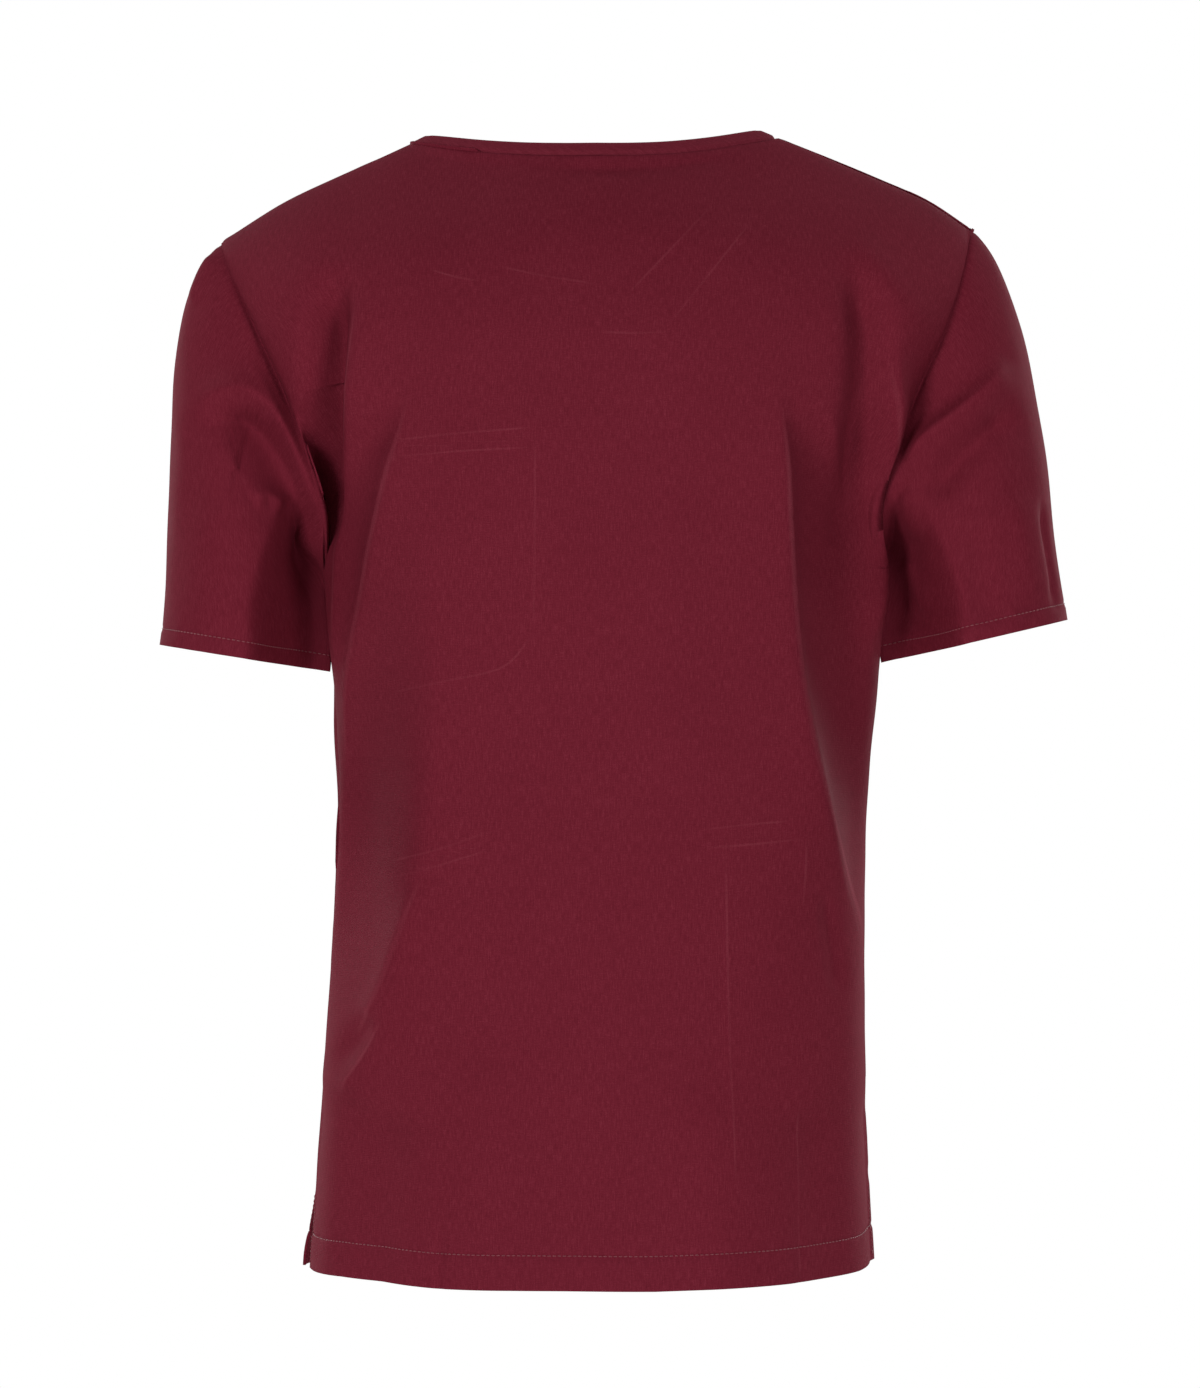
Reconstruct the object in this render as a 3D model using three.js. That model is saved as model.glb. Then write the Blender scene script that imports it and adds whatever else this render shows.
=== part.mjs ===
// The top of a set of medical scrubs: a short-sleeved V-neck tunic, filled out as it is when worn, with no wearer.
// A maker cuts a back, a front, two set-in sleeves, a neck band in three lengths, a chest pocket and two lower
// pockets. Millimetres, +Z up. The front faces -Y and the wearer's left is +X. The origin is the middle of the neck
// opening, level with the shoulder seams. Each piece is a thin closed wall: an outer sheet and an inner one.
import * as THREE from 'three';

// Cloth
const WALL = 1.4;
const HEM_WALL = 2.6; // cloth turned up twice and stitched
const BAND_WALL = 2.2; // a neck band of two layers
const SEAM_GAP = 0.3; // between neighbouring pieces
const SLEEVE_GAP = 0.48; // between a sleeve and its armhole
const POCKET_LIFT = 0.6; // between a patch pocket and the front

// Body of the tunic
const HEM_LEVEL = -712;
const HEM_TILT = 5.5; // the hem is lower at the wearer's left
const HEM_DEPTH = 23;
const UNDERARM_LEVEL = -272;
const YOKE_LEVEL = -150; // above it the rows bend towards the shoulders
const SQUARENESS = 2.5; // exponent of the cross-section: 2 is an ellipse
const SHOULDER_ROUNDING = 110; // height over which the shoulders round into the back and the front
const ROUNDING_POWER = 2.2;
const VENT_HEIGHT = 46;
const VENT_OPEN = 5; // how far each panel's edge draws back at the foot of a side vent
const VENT_SPREAD = { left: 5, right: 0 }; // how far the front's corner stands out beyond the back's
const VENT_COLUMNS = 2; // columns beside a side seam that a vent draws back
const VENT_ROWS = 2; // rows from the hem that it draws back

// Cross-sections from the hem up: half widths at the wearer's left and right, depths of the back and the front
const SECTIONS = [
  { z: -720, left: 179, right: 178, back: 130, front: 126 },
  { z: -640, left: 174, right: 174, back: 126, front: 123 },
  { z: -545, left: 167, right: 171, back: 121, front: 121 },
  { z: -450, left: 162, right: 171, back: 118, front: 121 },
  { z: -400, left: 161, right: 174, back: 117, front: 122 },
  { z: -335, left: 163, right: 180, back: 121, front: 127 },
  { z: -300, left: 166, right: 178.5, back: 123, front: 130 },
  { z: -272, left: 169, right: 177.5, back: 125, front: 131 },
  { z: -240, left: 173, right: 184, back: 126, front: 131 },
  { z: -203, left: 187, right: 197, back: 126, front: 129 },
  { z: -160, left: 204, right: 214, back: 123, front: 122 },
  { z: -120, left: 223, right: 233, back: 117, front: 110 },
  { z: -66, left: 247, right: 249, back: 95, front: 86 },
  { z: -14, left: 254, right: 256, back: 58, front: 54 },
  { z: 12, left: 256, right: 258, back: 48, front: 44 },
];

// Height of the shoulder ridge by the distance from the middle, and of the form's crown under the neck
const RIDGE = [
  { out: 0, left: 50, right: 52 },
  { out: 60, left: 23, right: 26 },
  { out: 92, left: 8, right: 11 },
  { out: 120, left: -5, right: -1 },
  { out: 150, left: -19, right: -13 },
  { out: 180, left: -33, right: -25.5 },
  { out: 210, left: -49, right: -39 },
  { out: 237, left: -66, right: -57 },
];
const SHOULDER_TIP = { left: 236, right: 237 };
const ARMHOLE_SCOOP = { back: 0.42, front: 0.46 }; // depth of the armhole edge as a share of the panel's depth
const ARMHOLE_ROUND = 74; // height of the armhole's round foot

// Neckline: the seam of the band, and the band's free edge
const NECK_SEAM = { half: 116, back: -15, front: -135, spread: 2.5 };
const NECK_EDGE = { half: 104, back: -7, front: -97, spread: 2.5 };
const V_CURVE = 0.1; // share of the V that bends instead of running straight
const BAND_SHARES = [0.05, 0.5, 1]; // rows of the band between its seam and its free edge

// Largest folds. Heights are positive outwards; paths are (x, z) on the back or the front
const FOLDS = [
  { on: 'back', height: 6, width: 20, path: [[148, -125], [150, -185], [154, -250], [155, -325]] },
  { on: 'back', height: 5, width: 20, path: [[116, -200], [127, -245], [141, -305], [154, -385]] },
  { on: 'back', height: -6, width: 23, path: [[118, -350], [119, -430], [126, -510]] },
  { on: 'back', height: 7, width: 19, path: [[-114, -150], [-115, -250], [-127, -360], [-158, -500]] },
  { on: 'back', height: -4, width: 20, path: [[-150, -190], [-152, -280], [-160, -370]] },
  { on: 'back', height: 6, width: 18, path: [[-186, -125], [-183, -190], [-178, -255], [-174, -320]] },
  { on: 'back', height: 4, width: 26, path: [[60, -560], [64, -630], [66, -712]] },
  { on: 'back', height: 4, width: 26, path: [[-70, -580], [-76, -650], [-80, -712]] },
  { on: 'front', height: 5, width: 24, path: [[-122, -190], [-124, -280], [-134, -370], [-150, -470]] },
  { on: 'front', height: 5, width: 22, path: [[146, -150], [149, -230], [152, -320]] },
  { on: 'front', height: -5, width: 26, path: [[24, -240], [22, -330], [26, -420]] },
  { on: 'front', height: 4, width: 26, path: [[-18, -520], [-16, -620], [-20, -712]] },
];
const SLEEVE_FOLDS = [
  { on: 'back', height: 7, width: 20, path: [[246, -178], [225, -164], [203, -172], [186, -205]] },
  { on: 'back', height: 7, width: 19, path: [[-204, -205], [-214, -188], [-235, -170], [-255, -146]] },
  { on: 'front', height: 6, width: 20, path: [[210, -215], [220, -190], [240, -175], [258, -160]] },
  { on: 'front', height: 6, width: 20, path: [[-212, -220], [-222, -196], [-240, -180], [-258, -168]] },
];

// Sleeves: the hem ring's outer and inner ends, its half depth, and how the cap leaves the armhole
const SLEEVES = {
  left: { sign: 1, outer: [273, -320], inner: [166, -337] },
  right: { sign: -1, outer: [-300, -304], inner: [-183, -331] },
};
const SLEEVE_HALF_DEPTH = 69;
const SLEEVE_HEM_DEPTH = 12;
const CAP_LEAVING = { out: 0.75, along: 0.35, down: 0.65 };
const UNDERARM_LEAN = { least: 0.1, spread: 0.3 }; // the cap leans out far less about the underarm seam
const SLEEVE_SET = [1, 0, -0.35]; // the way from the armhole's edge to the sleeve's
const CAP_PULL = 0.7; // tangent lengths as shares of the distance from armhole to hem
const HEM_PULL = 0.8;
const SLEEVE_STEPS = [0, 0.08, 0.19, 0.32, 0.46, 0.6, 0.74, 0.88, 1];

// Patch pockets on the front, measured along the cloth from the centre line; clip is the cut bottom corner
const POCKETS = [
  { name: 'chest_pocket', sign: 1, inner: 58, width: 112, top: -190, bottom: -338, clip: 20 },
  { name: 'pocket_left', sign: 1, inner: 47, width: 155, top: -440, bottom: -671, clip: 16 },
  { name: 'pocket_right', sign: -1, inner: 47, width: 155, top: -440, bottom: -671, clip: 16 },
];

// Grid of a panel: columns from the wearer's right to the left, rows from the hem to the top edge
const COLUMNS = 32;
const NECK_COLUMN = 8; // the neck starts this many columns in from the shoulder tip
const LOWER_ROWS = 9;
const MIDDLE_ROWS = 4;
const TOP_ROWS = 7;
const HEM_ROWS = 2;
const UNDERARM_ROW = LOWER_ROWS + 1;
const YOKE_ROW = UNDERARM_ROW + MIDDLE_ROWS;
const TOP_ROW = YOKE_ROW + TOP_ROWS;
const TOP_CROWDING = 1.6; // rows crowd towards the shoulder, where the form turns over
const BUNCHED = 0.04; // spacing of a pocket's columns where they bunch up, as a share of the panel's
const EDGE_FADE = 2.5; // folds die out over this many columns or rows before a seam
const SLEEVE_FACING = { gain: 1.6, least: 0.4 }; // and where a sleeve's cloth turns to its outer or inner side
const FOLD_ENDS = 4; // a fold rises and dies out over a quarter of its length
const LEVEL_COLUMN = 6; // the column from the centre line whose levels place a pocket's rows
const ROW_MARGIN = { low: 0.15, high: 0.1 }; // least distance of a pocket's rows, as a share of a panel row
const ARC_STEPS = 60;

const BURGUNDY = 0x6b1f2b;
const DEEP_BURGUNDY = 0x601a26;
const CLOTH_ROUGHNESS = 0.82;

const lerp = (a, b, share) => a + (b - a) * share;
const clamp01 = (value) => Math.min(1, Math.max(0, value));
const smooth = (value) => clamp01(value) ** 2 * (3 - 2 * clamp01(value));

// A smooth curve through one column of a table whose rows rise by the column named key
function along(table, key, position, column) {
  const last = table.length - 1;
  let row = 0;
  while (row < last - 1 && position > table[row + 1][key]) row++;
  const slope = (at) => {
    const before = table[Math.max(at - 1, 0)];
    const after = table[Math.min(at + 1, last)];
    return (after[column] - before[column]) / (after[key] - before[key]);
  };
  const span = table[row + 1][key] - table[row][key];
  const share = clamp01((position - table[row][key]) / span);
  return hermite(table[row][column], slope(row) * span, table[row + 1][column], slope(row + 1) * span, share);
}

function hermite(start, startPull, end, endPull, t) {
  const rise = t * t * (3 - 2 * t);
  return start * (1 - rise) + end * rise + startPull * t * (1 - t) ** 2 - endPull * t * t * (1 - t);
}

// The hollow form that the tunic hangs in
const handOf = (x) => (x < 0 ? 'right' : 'left');
const halfWidth = (x, z) => along(SECTIONS, 'z', z, handOf(x));
const ridgeHeight = (x) => along(RIDGE, 'out', Math.abs(x), handOf(x));
const rounded = (share, power) => (1 - (1 - clamp01(share)) ** power) ** (1 / power);

function formPoint(face, x, z) {
  const depth = along(SECTIONS, 'z', z, face);
  const across = clamp01(Math.abs(x) / halfWidth(x, z));
  const bulge = (1 - across ** SQUARENESS) ** (1 / SQUARENESS);
  const roof = rounded((ridgeHeight(x) - z) / SHOULDER_ROUNDING, ROUNDING_POWER);
  const y = SEAM_GAP / 2 + depth * bulge * roof;
  return new THREE.Vector3(x, face === 'back' ? y : -y, z);
}

// The x that lies at a share of the cloth's length from the centre line to the edge of a level cross-section
function xAcross(face, z, sign, edge, share) {
  const width = halfWidth(sign, z);
  const depth = along(SECTIONS, 'z', z, face);
  const edgeAngle = Math.asin((edge / width) ** (SQUARENESS / 2));
  const points = [];
  for (let step = 0; step <= ARC_STEPS; step++) {
    const angle = (edgeAngle * step) / ARC_STEPS;
    const x = width * Math.sin(angle) ** (2 / SQUARENESS);
    const y = depth * Math.cos(angle) ** (2 / SQUARENESS);
    const before = points[step - 1];
    points.push({ x, y, length: before ? before.length + Math.hypot(x - before.x, y - before.y) : 0 });
  }
  const wanted = share * points[ARC_STEPS].length;
  let step = 1;
  while (step < ARC_STEPS && points[step].length < wanted) step++;
  const [low, high] = [points[step - 1], points[step]];
  return sign * lerp(low.x, high.x, (wanted - low.length) / (high.length - low.length));
}

// Half width of a panel at a level: the side seam, or the armhole's edge above the underarm
function panelEdge(face, sign, z) {
  const width = halfWidth(sign, z);
  if (z <= UNDERARM_LEVEL) return width;
  const climb = clamp01((z - UNDERARM_LEVEL) / ARMHOLE_ROUND);
  const scoop = ARMHOLE_SCOOP[face] * Math.sqrt(1 - (1 - climb) ** 2);
  return width * (1 - scoop ** SQUARENESS) ** (1 / SQUARENESS);
}

// A point of the shoulder seams and the neckline; place runs from -1, the right tip, to 1, the left tip
function topEdge(face, place) {
  const sign = place < 0 ? -1 : 1;
  const out = Math.abs(place);
  const neckShare = 1 - (2 * NECK_COLUMN) / COLUMNS;
  if (out < neckShare) return neckPoint(NECK_SEAM, face, place / neckShare);
  const x = lerp(NECK_SEAM.half, SHOULDER_TIP[handOf(sign)], (out - neckShare) / (1 - neckShare)) * sign;
  return { x, z: ridgeHeight(x) };
}

function neckPoint(line, face, place) {
  const across = Math.sin((place * Math.PI) / 2);
  const x = line.half * across;
  const end = ridgeHeight(line.half * (place < 0 ? -1 : 1));
  const out = Math.abs(across);
  const climb = face === 'back' ? out ** line.spread : lerp(out, out * out, V_CURVE);
  return { x, z: lerp(line[face], end, climb) };
}

// Places (x, z) of a panel's grid
function levelRow(face, level) {
  const tilt = (HEM_TILT * Math.max(UNDERARM_LEVEL - level, 0)) / (UNDERARM_LEVEL - HEM_LEVEL);
  return Array.from({ length: COLUMNS + 1 }, (_, column) => {
    const place = (2 * column) / COLUMNS - 1;
    const sign = place < 0 ? -1 : 1;
    const z = level - tilt * Math.sin((place * Math.PI) / 2);
    return { x: xAcross(face, z, sign, panelEdge(face, sign, z), Math.abs(place)), z };
  });
}

function topZoneRow(face, climb) {
  const bottom = levelRow(face, YOKE_LEVEL);
  const edgeAt = (sign, share) => {
    const tip = ridgeHeight(SHOULDER_TIP[handOf(sign)] * sign);
    const z = lerp(YOKE_LEVEL, tip, share);
    const x = share === 1 ? SHOULDER_TIP[handOf(sign)] : panelEdge(face, sign, z);
    return { x: x * sign, z };
  };
  return bottom.map((low, column) => {
    const share = column / COLUMNS;
    const high = topEdge(face, 2 * share - 1);
    const mix = (axis) => {
      const sides = lerp(edgeAt(-1, climb)[axis], edgeAt(1, climb)[axis], share);
      const feet = lerp(bottom[0][axis], bottom[COLUMNS][axis], share);
      const tips = lerp(edgeAt(-1, 1)[axis], edgeAt(1, 1)[axis], share);
      return lerp(low[axis], high[axis], climb) + sides - lerp(feet, tips, climb);
    };
    return { x: mix('x'), z: mix('z') };
  });
}

function panelPlaces(face) {
  const rows = [levelRow(face, HEM_LEVEL)];
  for (let row = 0; row <= LOWER_ROWS; row++) {
    rows.push(levelRow(face, lerp(HEM_LEVEL + HEM_DEPTH, UNDERARM_LEVEL, row / LOWER_ROWS)));
  }
  for (let row = 1; row <= MIDDLE_ROWS; row++) {
    rows.push(levelRow(face, lerp(UNDERARM_LEVEL, YOKE_LEVEL, row / MIDDLE_ROWS)));
  }
  for (let row = 1; row <= TOP_ROWS; row++) {
    rows.push(topZoneRow(face, 1 - (1 - row / TOP_ROWS) ** TOP_CROWDING));
  }
  return rows;
}

// Normals of a grid of points, from its neighbours; around says that its columns close on themselves
function gridNormals(grid, outward, around = false) {
  const lastRow = grid.length - 1;
  const count = grid[0].length;
  return grid.map((points, row) =>
    points.map((point, column) => {
      const up = grid[Math.min(row + 1, lastRow)][column].clone().sub(grid[Math.max(row - 1, 0)][column]);
      const next = around ? (column + 1) % count : Math.min(column + 1, count - 1);
      const previous = around ? (column + count - 1) % count : Math.max(column - 1, 0);
      const over = grid[row][next].clone().sub(grid[row][previous]);
      return over.cross(up).multiplyScalar(outward).normalize();
    }),
  );
}

const moved = (grid, normals, distance) =>
  grid.map((points, row) =>
    points.map((point, column) => point.clone().addScaledVector(normals[row][column], distance(row, column))),
  );

// Height of the folds at a point: a soft rounded ridge along each path, dying out at the path's ends
function foldHeight(folds, face, point) {
  let height = 0;
  for (const fold of folds) {
    if (fold.on !== face) continue;
    let nearest = Infinity;
    let place = 0;
    for (let leg = 1; leg < fold.path.length; leg++) {
      const [x0, z0] = fold.path[leg - 1];
      const [dx, dz] = [fold.path[leg][0] - x0, fold.path[leg][1] - z0];
      const share = clamp01(((point.x - x0) * dx + (point.z - z0) * dz) / (dx * dx + dz * dz));
      const distance = Math.hypot(point.x - x0 - share * dx, point.z - z0 - share * dz);
      if (distance < nearest) [nearest, place] = [distance, (leg - 1 + share) / (fold.path.length - 1)];
    }
    const openEnd = fold.path.at(-1)[1] <= HEM_LEVEL ? 1 : 0;
    const ends = smooth(place * FOLD_ENDS) * smooth((1 - place + openEnd) * FOLD_ENDS);
    height += fold.height * ends * Math.exp(-((nearest / fold.width) ** 2));
  }
  return height;
}

// A closed wall between an outer grid and an inner one
function wallMesh(name, outer, inner, colour, around = false) {
  const rows = outer.length;
  const columns = outer[0].length;
  const positions = [...outer, ...inner].flatMap((row) => row.flatMap((point) => point.toArray()));
  const index = [];
  const at = (sheet, row, column) => (sheet * rows + row) * columns + (column % columns);
  const quad = (a, b, c, d) => index.push(a, b, c, a, c, d);
  const across = around ? columns : columns - 1;
  for (let row = 0; row < rows - 1; row++) {
    for (let column = 0; column < across; column++) {
      quad(at(0, row, column), at(0, row, column + 1), at(0, row + 1, column + 1), at(0, row + 1, column));
      quad(at(1, row, column), at(1, row + 1, column), at(1, row + 1, column + 1), at(1, row, column + 1));
    }
  }
  for (let column = 0; column < across; column++) {
    quad(at(1, 0, column), at(1, 0, column + 1), at(0, 0, column + 1), at(0, 0, column));
    quad(at(0, rows - 1, column), at(0, rows - 1, column + 1), at(1, rows - 1, column + 1), at(1, rows - 1, column));
  }
  for (let row = 0; row < rows - 1 && !around; row++) {
    quad(at(0, row, 0), at(0, row + 1, 0), at(1, row + 1, 0), at(1, row, 0));
    quad(at(1, row, across), at(1, row + 1, across), at(0, row + 1, across), at(0, row, across));
  }
  const corner = (vertex) => new THREE.Vector3().fromArray(positions, 3 * vertex);
  let volume = 0;
  for (let k = 0; k < index.length; k += 3) {
    volume += corner(index[k]).dot(corner(index[k + 1]).cross(corner(index[k + 2])));
  }
  if (volume < 0) index.reverse();
  const geometry = new THREE.BufferGeometry();
  geometry.setAttribute('position', new THREE.Float32BufferAttribute(positions, 3));
  geometry.setIndex(index);
  geometry.computeVertexNormals();
  const material = new THREE.MeshStandardMaterial({ color: colour, roughness: CLOTH_ROUGHNESS, metalness: 0 });
  const mesh = new THREE.Mesh(geometry, material);
  mesh.name = name;
  return mesh;
}

// Back and front
function panel(face) {
  const places = panelPlaces(face);
  const outward = face === 'back' ? -1 : 1;
  const base = places.map((row) => row.map(({ x, z }) => formPoint(face, x, z)));
  const sideFade = (column) => smooth(Math.min(column, COLUMNS - column) / EDGE_FADE);
  const topFade = (row) => smooth((TOP_ROW - row) / EDGE_FADE);
  const outer = moved(base, gridNormals(base, outward), (row, column) => {
    return sideFade(column) * topFade(row) * foldHeight(FOLDS, face, base[row][column]);
  });
  openVents(outer, face);
  const normals = gridNormals(outer, outward);
  const lieInSeam = (normal) => normal.setY(0).normalize();
  for (let row = 0; row <= UNDERARM_ROW; row++) {
    lieInSeam(normals[row][0]);
    lieInSeam(normals[row][COLUMNS]);
  }
  for (let column = 0; column <= NECK_COLUMN; column++) {
    lieInSeam(normals[TOP_ROW][column]);
    lieInSeam(normals[TOP_ROW][COLUMNS - column]);
  }
  const inner = moved(outer, normals, (row) => (row < HEM_ROWS ? -HEM_WALL : -WALL));
  return { face, outer, normals, mesh: wallMesh(face, outer, inner, BURGUNDY) };
}

// At the foot of each side seam the panels part in a short vent, and the front's corner may spread a little
function openVents(outer, face) {
  const away = face === 'back' ? 1 : -1;
  for (const points of outer.slice(0, VENT_ROWS)) {
    points.forEach((point, column) => {
      const low = smooth((HEM_LEVEL + VENT_HEIGHT - point.z) / VENT_HEIGHT);
      const nearSide = smooth(1 - Math.min(column, COLUMNS - column) / VENT_COLUMNS);
      point.y += away * VENT_OPEN * low * nearSide;
      if (face === 'front') point.x += Math.sign(point.x) * VENT_SPREAD[handOf(point.x)] * low * nearSide;
    });
  }
}

// A sleeve is one closed tube from the armhole ring to the hem ring
function sleeve(hand, back, front) {
  const { sign, outer: hemOuter, inner: hemInner } = SLEEVES[hand];
  const column = sign > 0 ? COLUMNS : 0;
  const backEdge = [];
  for (let row = TOP_ROW; row >= UNDERARM_ROW; row--) backEdge.push(back.outer[row][column].clone());
  const frontEdge = [];
  for (let row = UNDERARM_ROW; row <= TOP_ROW; row++) frontEdge.push(front.outer[row][column].clone());
  backEdge[0].y = 0;
  backEdge.at(-1).y = 0;
  const armhole = [...backEdge, ...frontEdge.slice(1, -1)];
  const shares = [...edgeShares(backEdge), ...edgeShares(frontEdge).slice(1, -1).map((share) => 1 + share)];

  const [setOut, setAlong, setDown] = SLEEVE_SET;
  const gap = new THREE.Vector3(setOut * sign, setAlong, setDown).normalize().multiplyScalar(SLEEVE_GAP);
  const middle = { x: (hemOuter[0] + hemInner[0]) / 2, z: (hemOuter[1] + hemInner[1]) / 2 };
  const reach = { x: (hemOuter[0] - hemInner[0]) / 2, z: (hemOuter[1] - hemInner[1]) / 2 };
  const hemDirection = new THREE.Vector3(reach.z * sign, 0, -reach.x * sign).normalize();

  const rims = armhole.map((point, k) => {
    const angle = shares[k] * Math.PI;
    const start = point.clone().add(gap);
    const end = new THREE.Vector3(
      middle.x + reach.x * Math.cos(angle),
      SLEEVE_HALF_DEPTH * Math.sin(angle),
      middle.z + reach.z * Math.cos(angle),
    );
    const { out, along: sideways, down } = CAP_LEAVING;
    const length = start.distanceTo(end);
    const lean = lerp(UNDERARM_LEAN.least, 1, smooth(Math.abs(1 - shares[k]) / UNDERARM_LEAN.spread));
    const leaving = new THREE.Vector3(out * lean * sign, sideways * Math.sin(angle), -down);
    leaving.normalize().multiplyScalar(CAP_PULL * length);
    const arriving = hemDirection.clone().multiplyScalar(HEM_PULL * length);
    return { start, end, leaving, arriving, hemShare: 1 - SLEEVE_HEM_DEPTH / (HEM_PULL * length) };
  });
  const ringAt = (shareOf) =>
    rims.map((rim) => {
      const t = shareOf(rim);
      const axis = (name) => hermite(rim.start[name], rim.leaving[name], rim.end[name], rim.arriving[name], t);
      return new THREE.Vector3(axis('x'), axis('y'), axis('z'));
    });
  const rings = [...SLEEVE_STEPS.map((step) => ringAt((rim) => step * rim.hemShare)), ringAt(() => 1)];

  const base = gridNormals(rings, -sign, true);
  const outer = moved(rings, base, (row, k) => {
    const face = rings[row][k].y > 0 ? 'back' : 'front';
    const facing = smooth(Math.abs(base[row][k].y) * SLEEVE_FACING.gain - SLEEVE_FACING.least);
    const fade = facing * smooth(row / EDGE_FADE);
    return fade * foldHeight(SLEEVE_FOLDS, face, rings[row][k]);
  });
  const normals = gridNormals(outer, -sign, true);
  const hemRow = SLEEVE_STEPS.length - 1;
  const inner = moved(outer, normals, (row) => (row >= hemRow ? -HEM_WALL : -WALL));
  return wallMesh(`sleeve_${hand}`, outer, inner, BURGUNDY, true);
}

function edgeShares(points) {
  const lengths = points.map(() => 0);
  for (let k = 1; k < points.length; k++) lengths[k] = lengths[k - 1] + points[k].distanceTo(points[k - 1]);
  return lengths.map((length) => length / lengths.at(-1));
}

// Neck band: from the panel's neck edge to a free edge, one length behind and two that meet at the V
function neckBand(name, body, from, to) {
  const { face } = body;
  const steps = (COLUMNS / 2 - NECK_COLUMN) * (to - from);
  const outward = face === 'back' ? -1 : 1;
  const grid = BAND_SHARES.map((share) =>
    Array.from({ length: steps + 1 }, (_, step) => {
      const place = lerp(from, to, step / steps);
      const seam = neckPoint(NECK_SEAM, face, place);
      const edge = neckPoint(NECK_EDGE, face, place);
      const point = formPoint(face, lerp(seam.x, edge.x, share), lerp(seam.z, edge.z, share));
      if (place === 0) point.x = ((from + to) * SEAM_GAP) / 2;
      return point;
    }),
  );
  const normals = gridNormals(grid, outward);
  const firstColumn = NECK_COLUMN + (from + 1) * (COLUMNS / 2 - NECK_COLUMN);
  normals[0] = normals[0].map((_, step) => body.normals[TOP_ROW][firstColumn + step].clone());
  for (const row of normals) {
    for (const [step, place] of [[0, from], [steps, to]]) {
      if (Math.abs(place) === 1) row[step].setY(0).normalize();
      if (place === 0) row[step].setX(0).normalize();
    }
  }
  return wallMesh(name, grid, moved(grid, normals, () => -BAND_WALL), DEEP_BURGUNDY);
}

// A patch pocket takes the front's own points, moved out
function pocket({ name, sign, inner, width, top, bottom, clip }, front) {
  const half = COLUMNS / 2;
  const levels = front.outer.map((row) => row[half + sign * LEVEL_COLUMN].z);
  const rowAt = (z) => {
    const row = levels.findIndex((level) => level > z) - 1;
    return row + (z - levels[row]) / (levels[row + 1] - levels[row]);
  };
  const [lowRow, highRow] = [rowAt(bottom), rowAt(top)];
  const rows = [lowRow];
  for (let row = Math.ceil(lowRow + ROW_MARGIN.low); row < highRow - ROW_MARGIN.high; row++) rows.push(row);
  rows.push(highRow);

  const onPanel = (row, column) => {
    const [r, c] = [Math.floor(row), Math.floor(column)];
    const corner = (grid, dr, dc) => grid[Math.min(r + dr, TOP_ROW)][Math.min(c + dc, COLUMNS)];
    const blend = (grid) =>
      corner(grid, 0, 0).clone().lerp(corner(grid, 0, 1), column - c)
        .lerp(corner(grid, 1, 0).clone().lerp(corner(grid, 1, 1), column - c), row - r);
    return { point: blend(front.outer), normal: blend(front.normals).normalize() };
  };
  const columnAt = (row, distance) => {
    let travelled = 0;
    let before = onPanel(row, half).point;
    for (let step = 1; step <= half; step++) {
      const next = onPanel(row, half + sign * step).point;
      const length = next.distanceTo(before);
      if (travelled + length >= distance) return half + sign * (step - 1 + (distance - travelled) / length);
      [travelled, before] = [travelled + length, next];
    }
    return half + sign * half;
  };
  const ends = rows.map((row) => [columnAt(row, inner), columnAt(row, inner + width)].sort((a, b) => a - b));
  const first = Math.floor(Math.min(...ends.map(([low]) => low)));
  const last = Math.ceil(Math.max(...ends.map(([, high]) => high)));

  // Its columns are the panel's, and bunch up at its edges where these slant across one
  const sheets = { near: [], far: [] };
  rows.forEach((row, k) => {
    const [low, high] = ends[k];
    const columns = [];
    for (let column = first; column <= last; column++) {
      const fromFirst = low + (column - first) * BUNCHED;
      const fromLast = high - (last - column) * BUNCHED;
      columns.push(Math.min(Math.max(column, fromFirst), fromLast));
    }
    const places = columns.map((column, order) => {
      const corner = k === 0 && (order === 0 || order === columns.length - 1);
      const rise = corner ? clip / (levels[Math.ceil(lowRow)] - levels[Math.floor(lowRow)]) : 0;
      return onPanel(row + rise, column);
    });
    const lifted = (lift) => places.map(({ point, normal }) => point.clone().addScaledVector(normal, lift));
    sheets.near.push(lifted(POCKET_LIFT));
    sheets.far.push(lifted(POCKET_LIFT + WALL));
  });
  return wallMesh(name, sheets.far, sheets.near, BURGUNDY);
}

const back = panel('back');
const front = panel('front');

const tunic = new THREE.Group();
tunic.add(back.mesh, front.mesh);
for (const hand of Object.keys(SLEEVES)) tunic.add(sleeve(hand, back, front));
tunic.add(neckBand('neck_band_back', back, -1, 1));
tunic.add(neckBand('neck_band_left', front, 0, 1));
tunic.add(neckBand('neck_band_right', front, -1, 0));
for (const shape of POCKETS) tunic.add(pocket(shape, front));

export default tunic;
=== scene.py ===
import math

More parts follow.
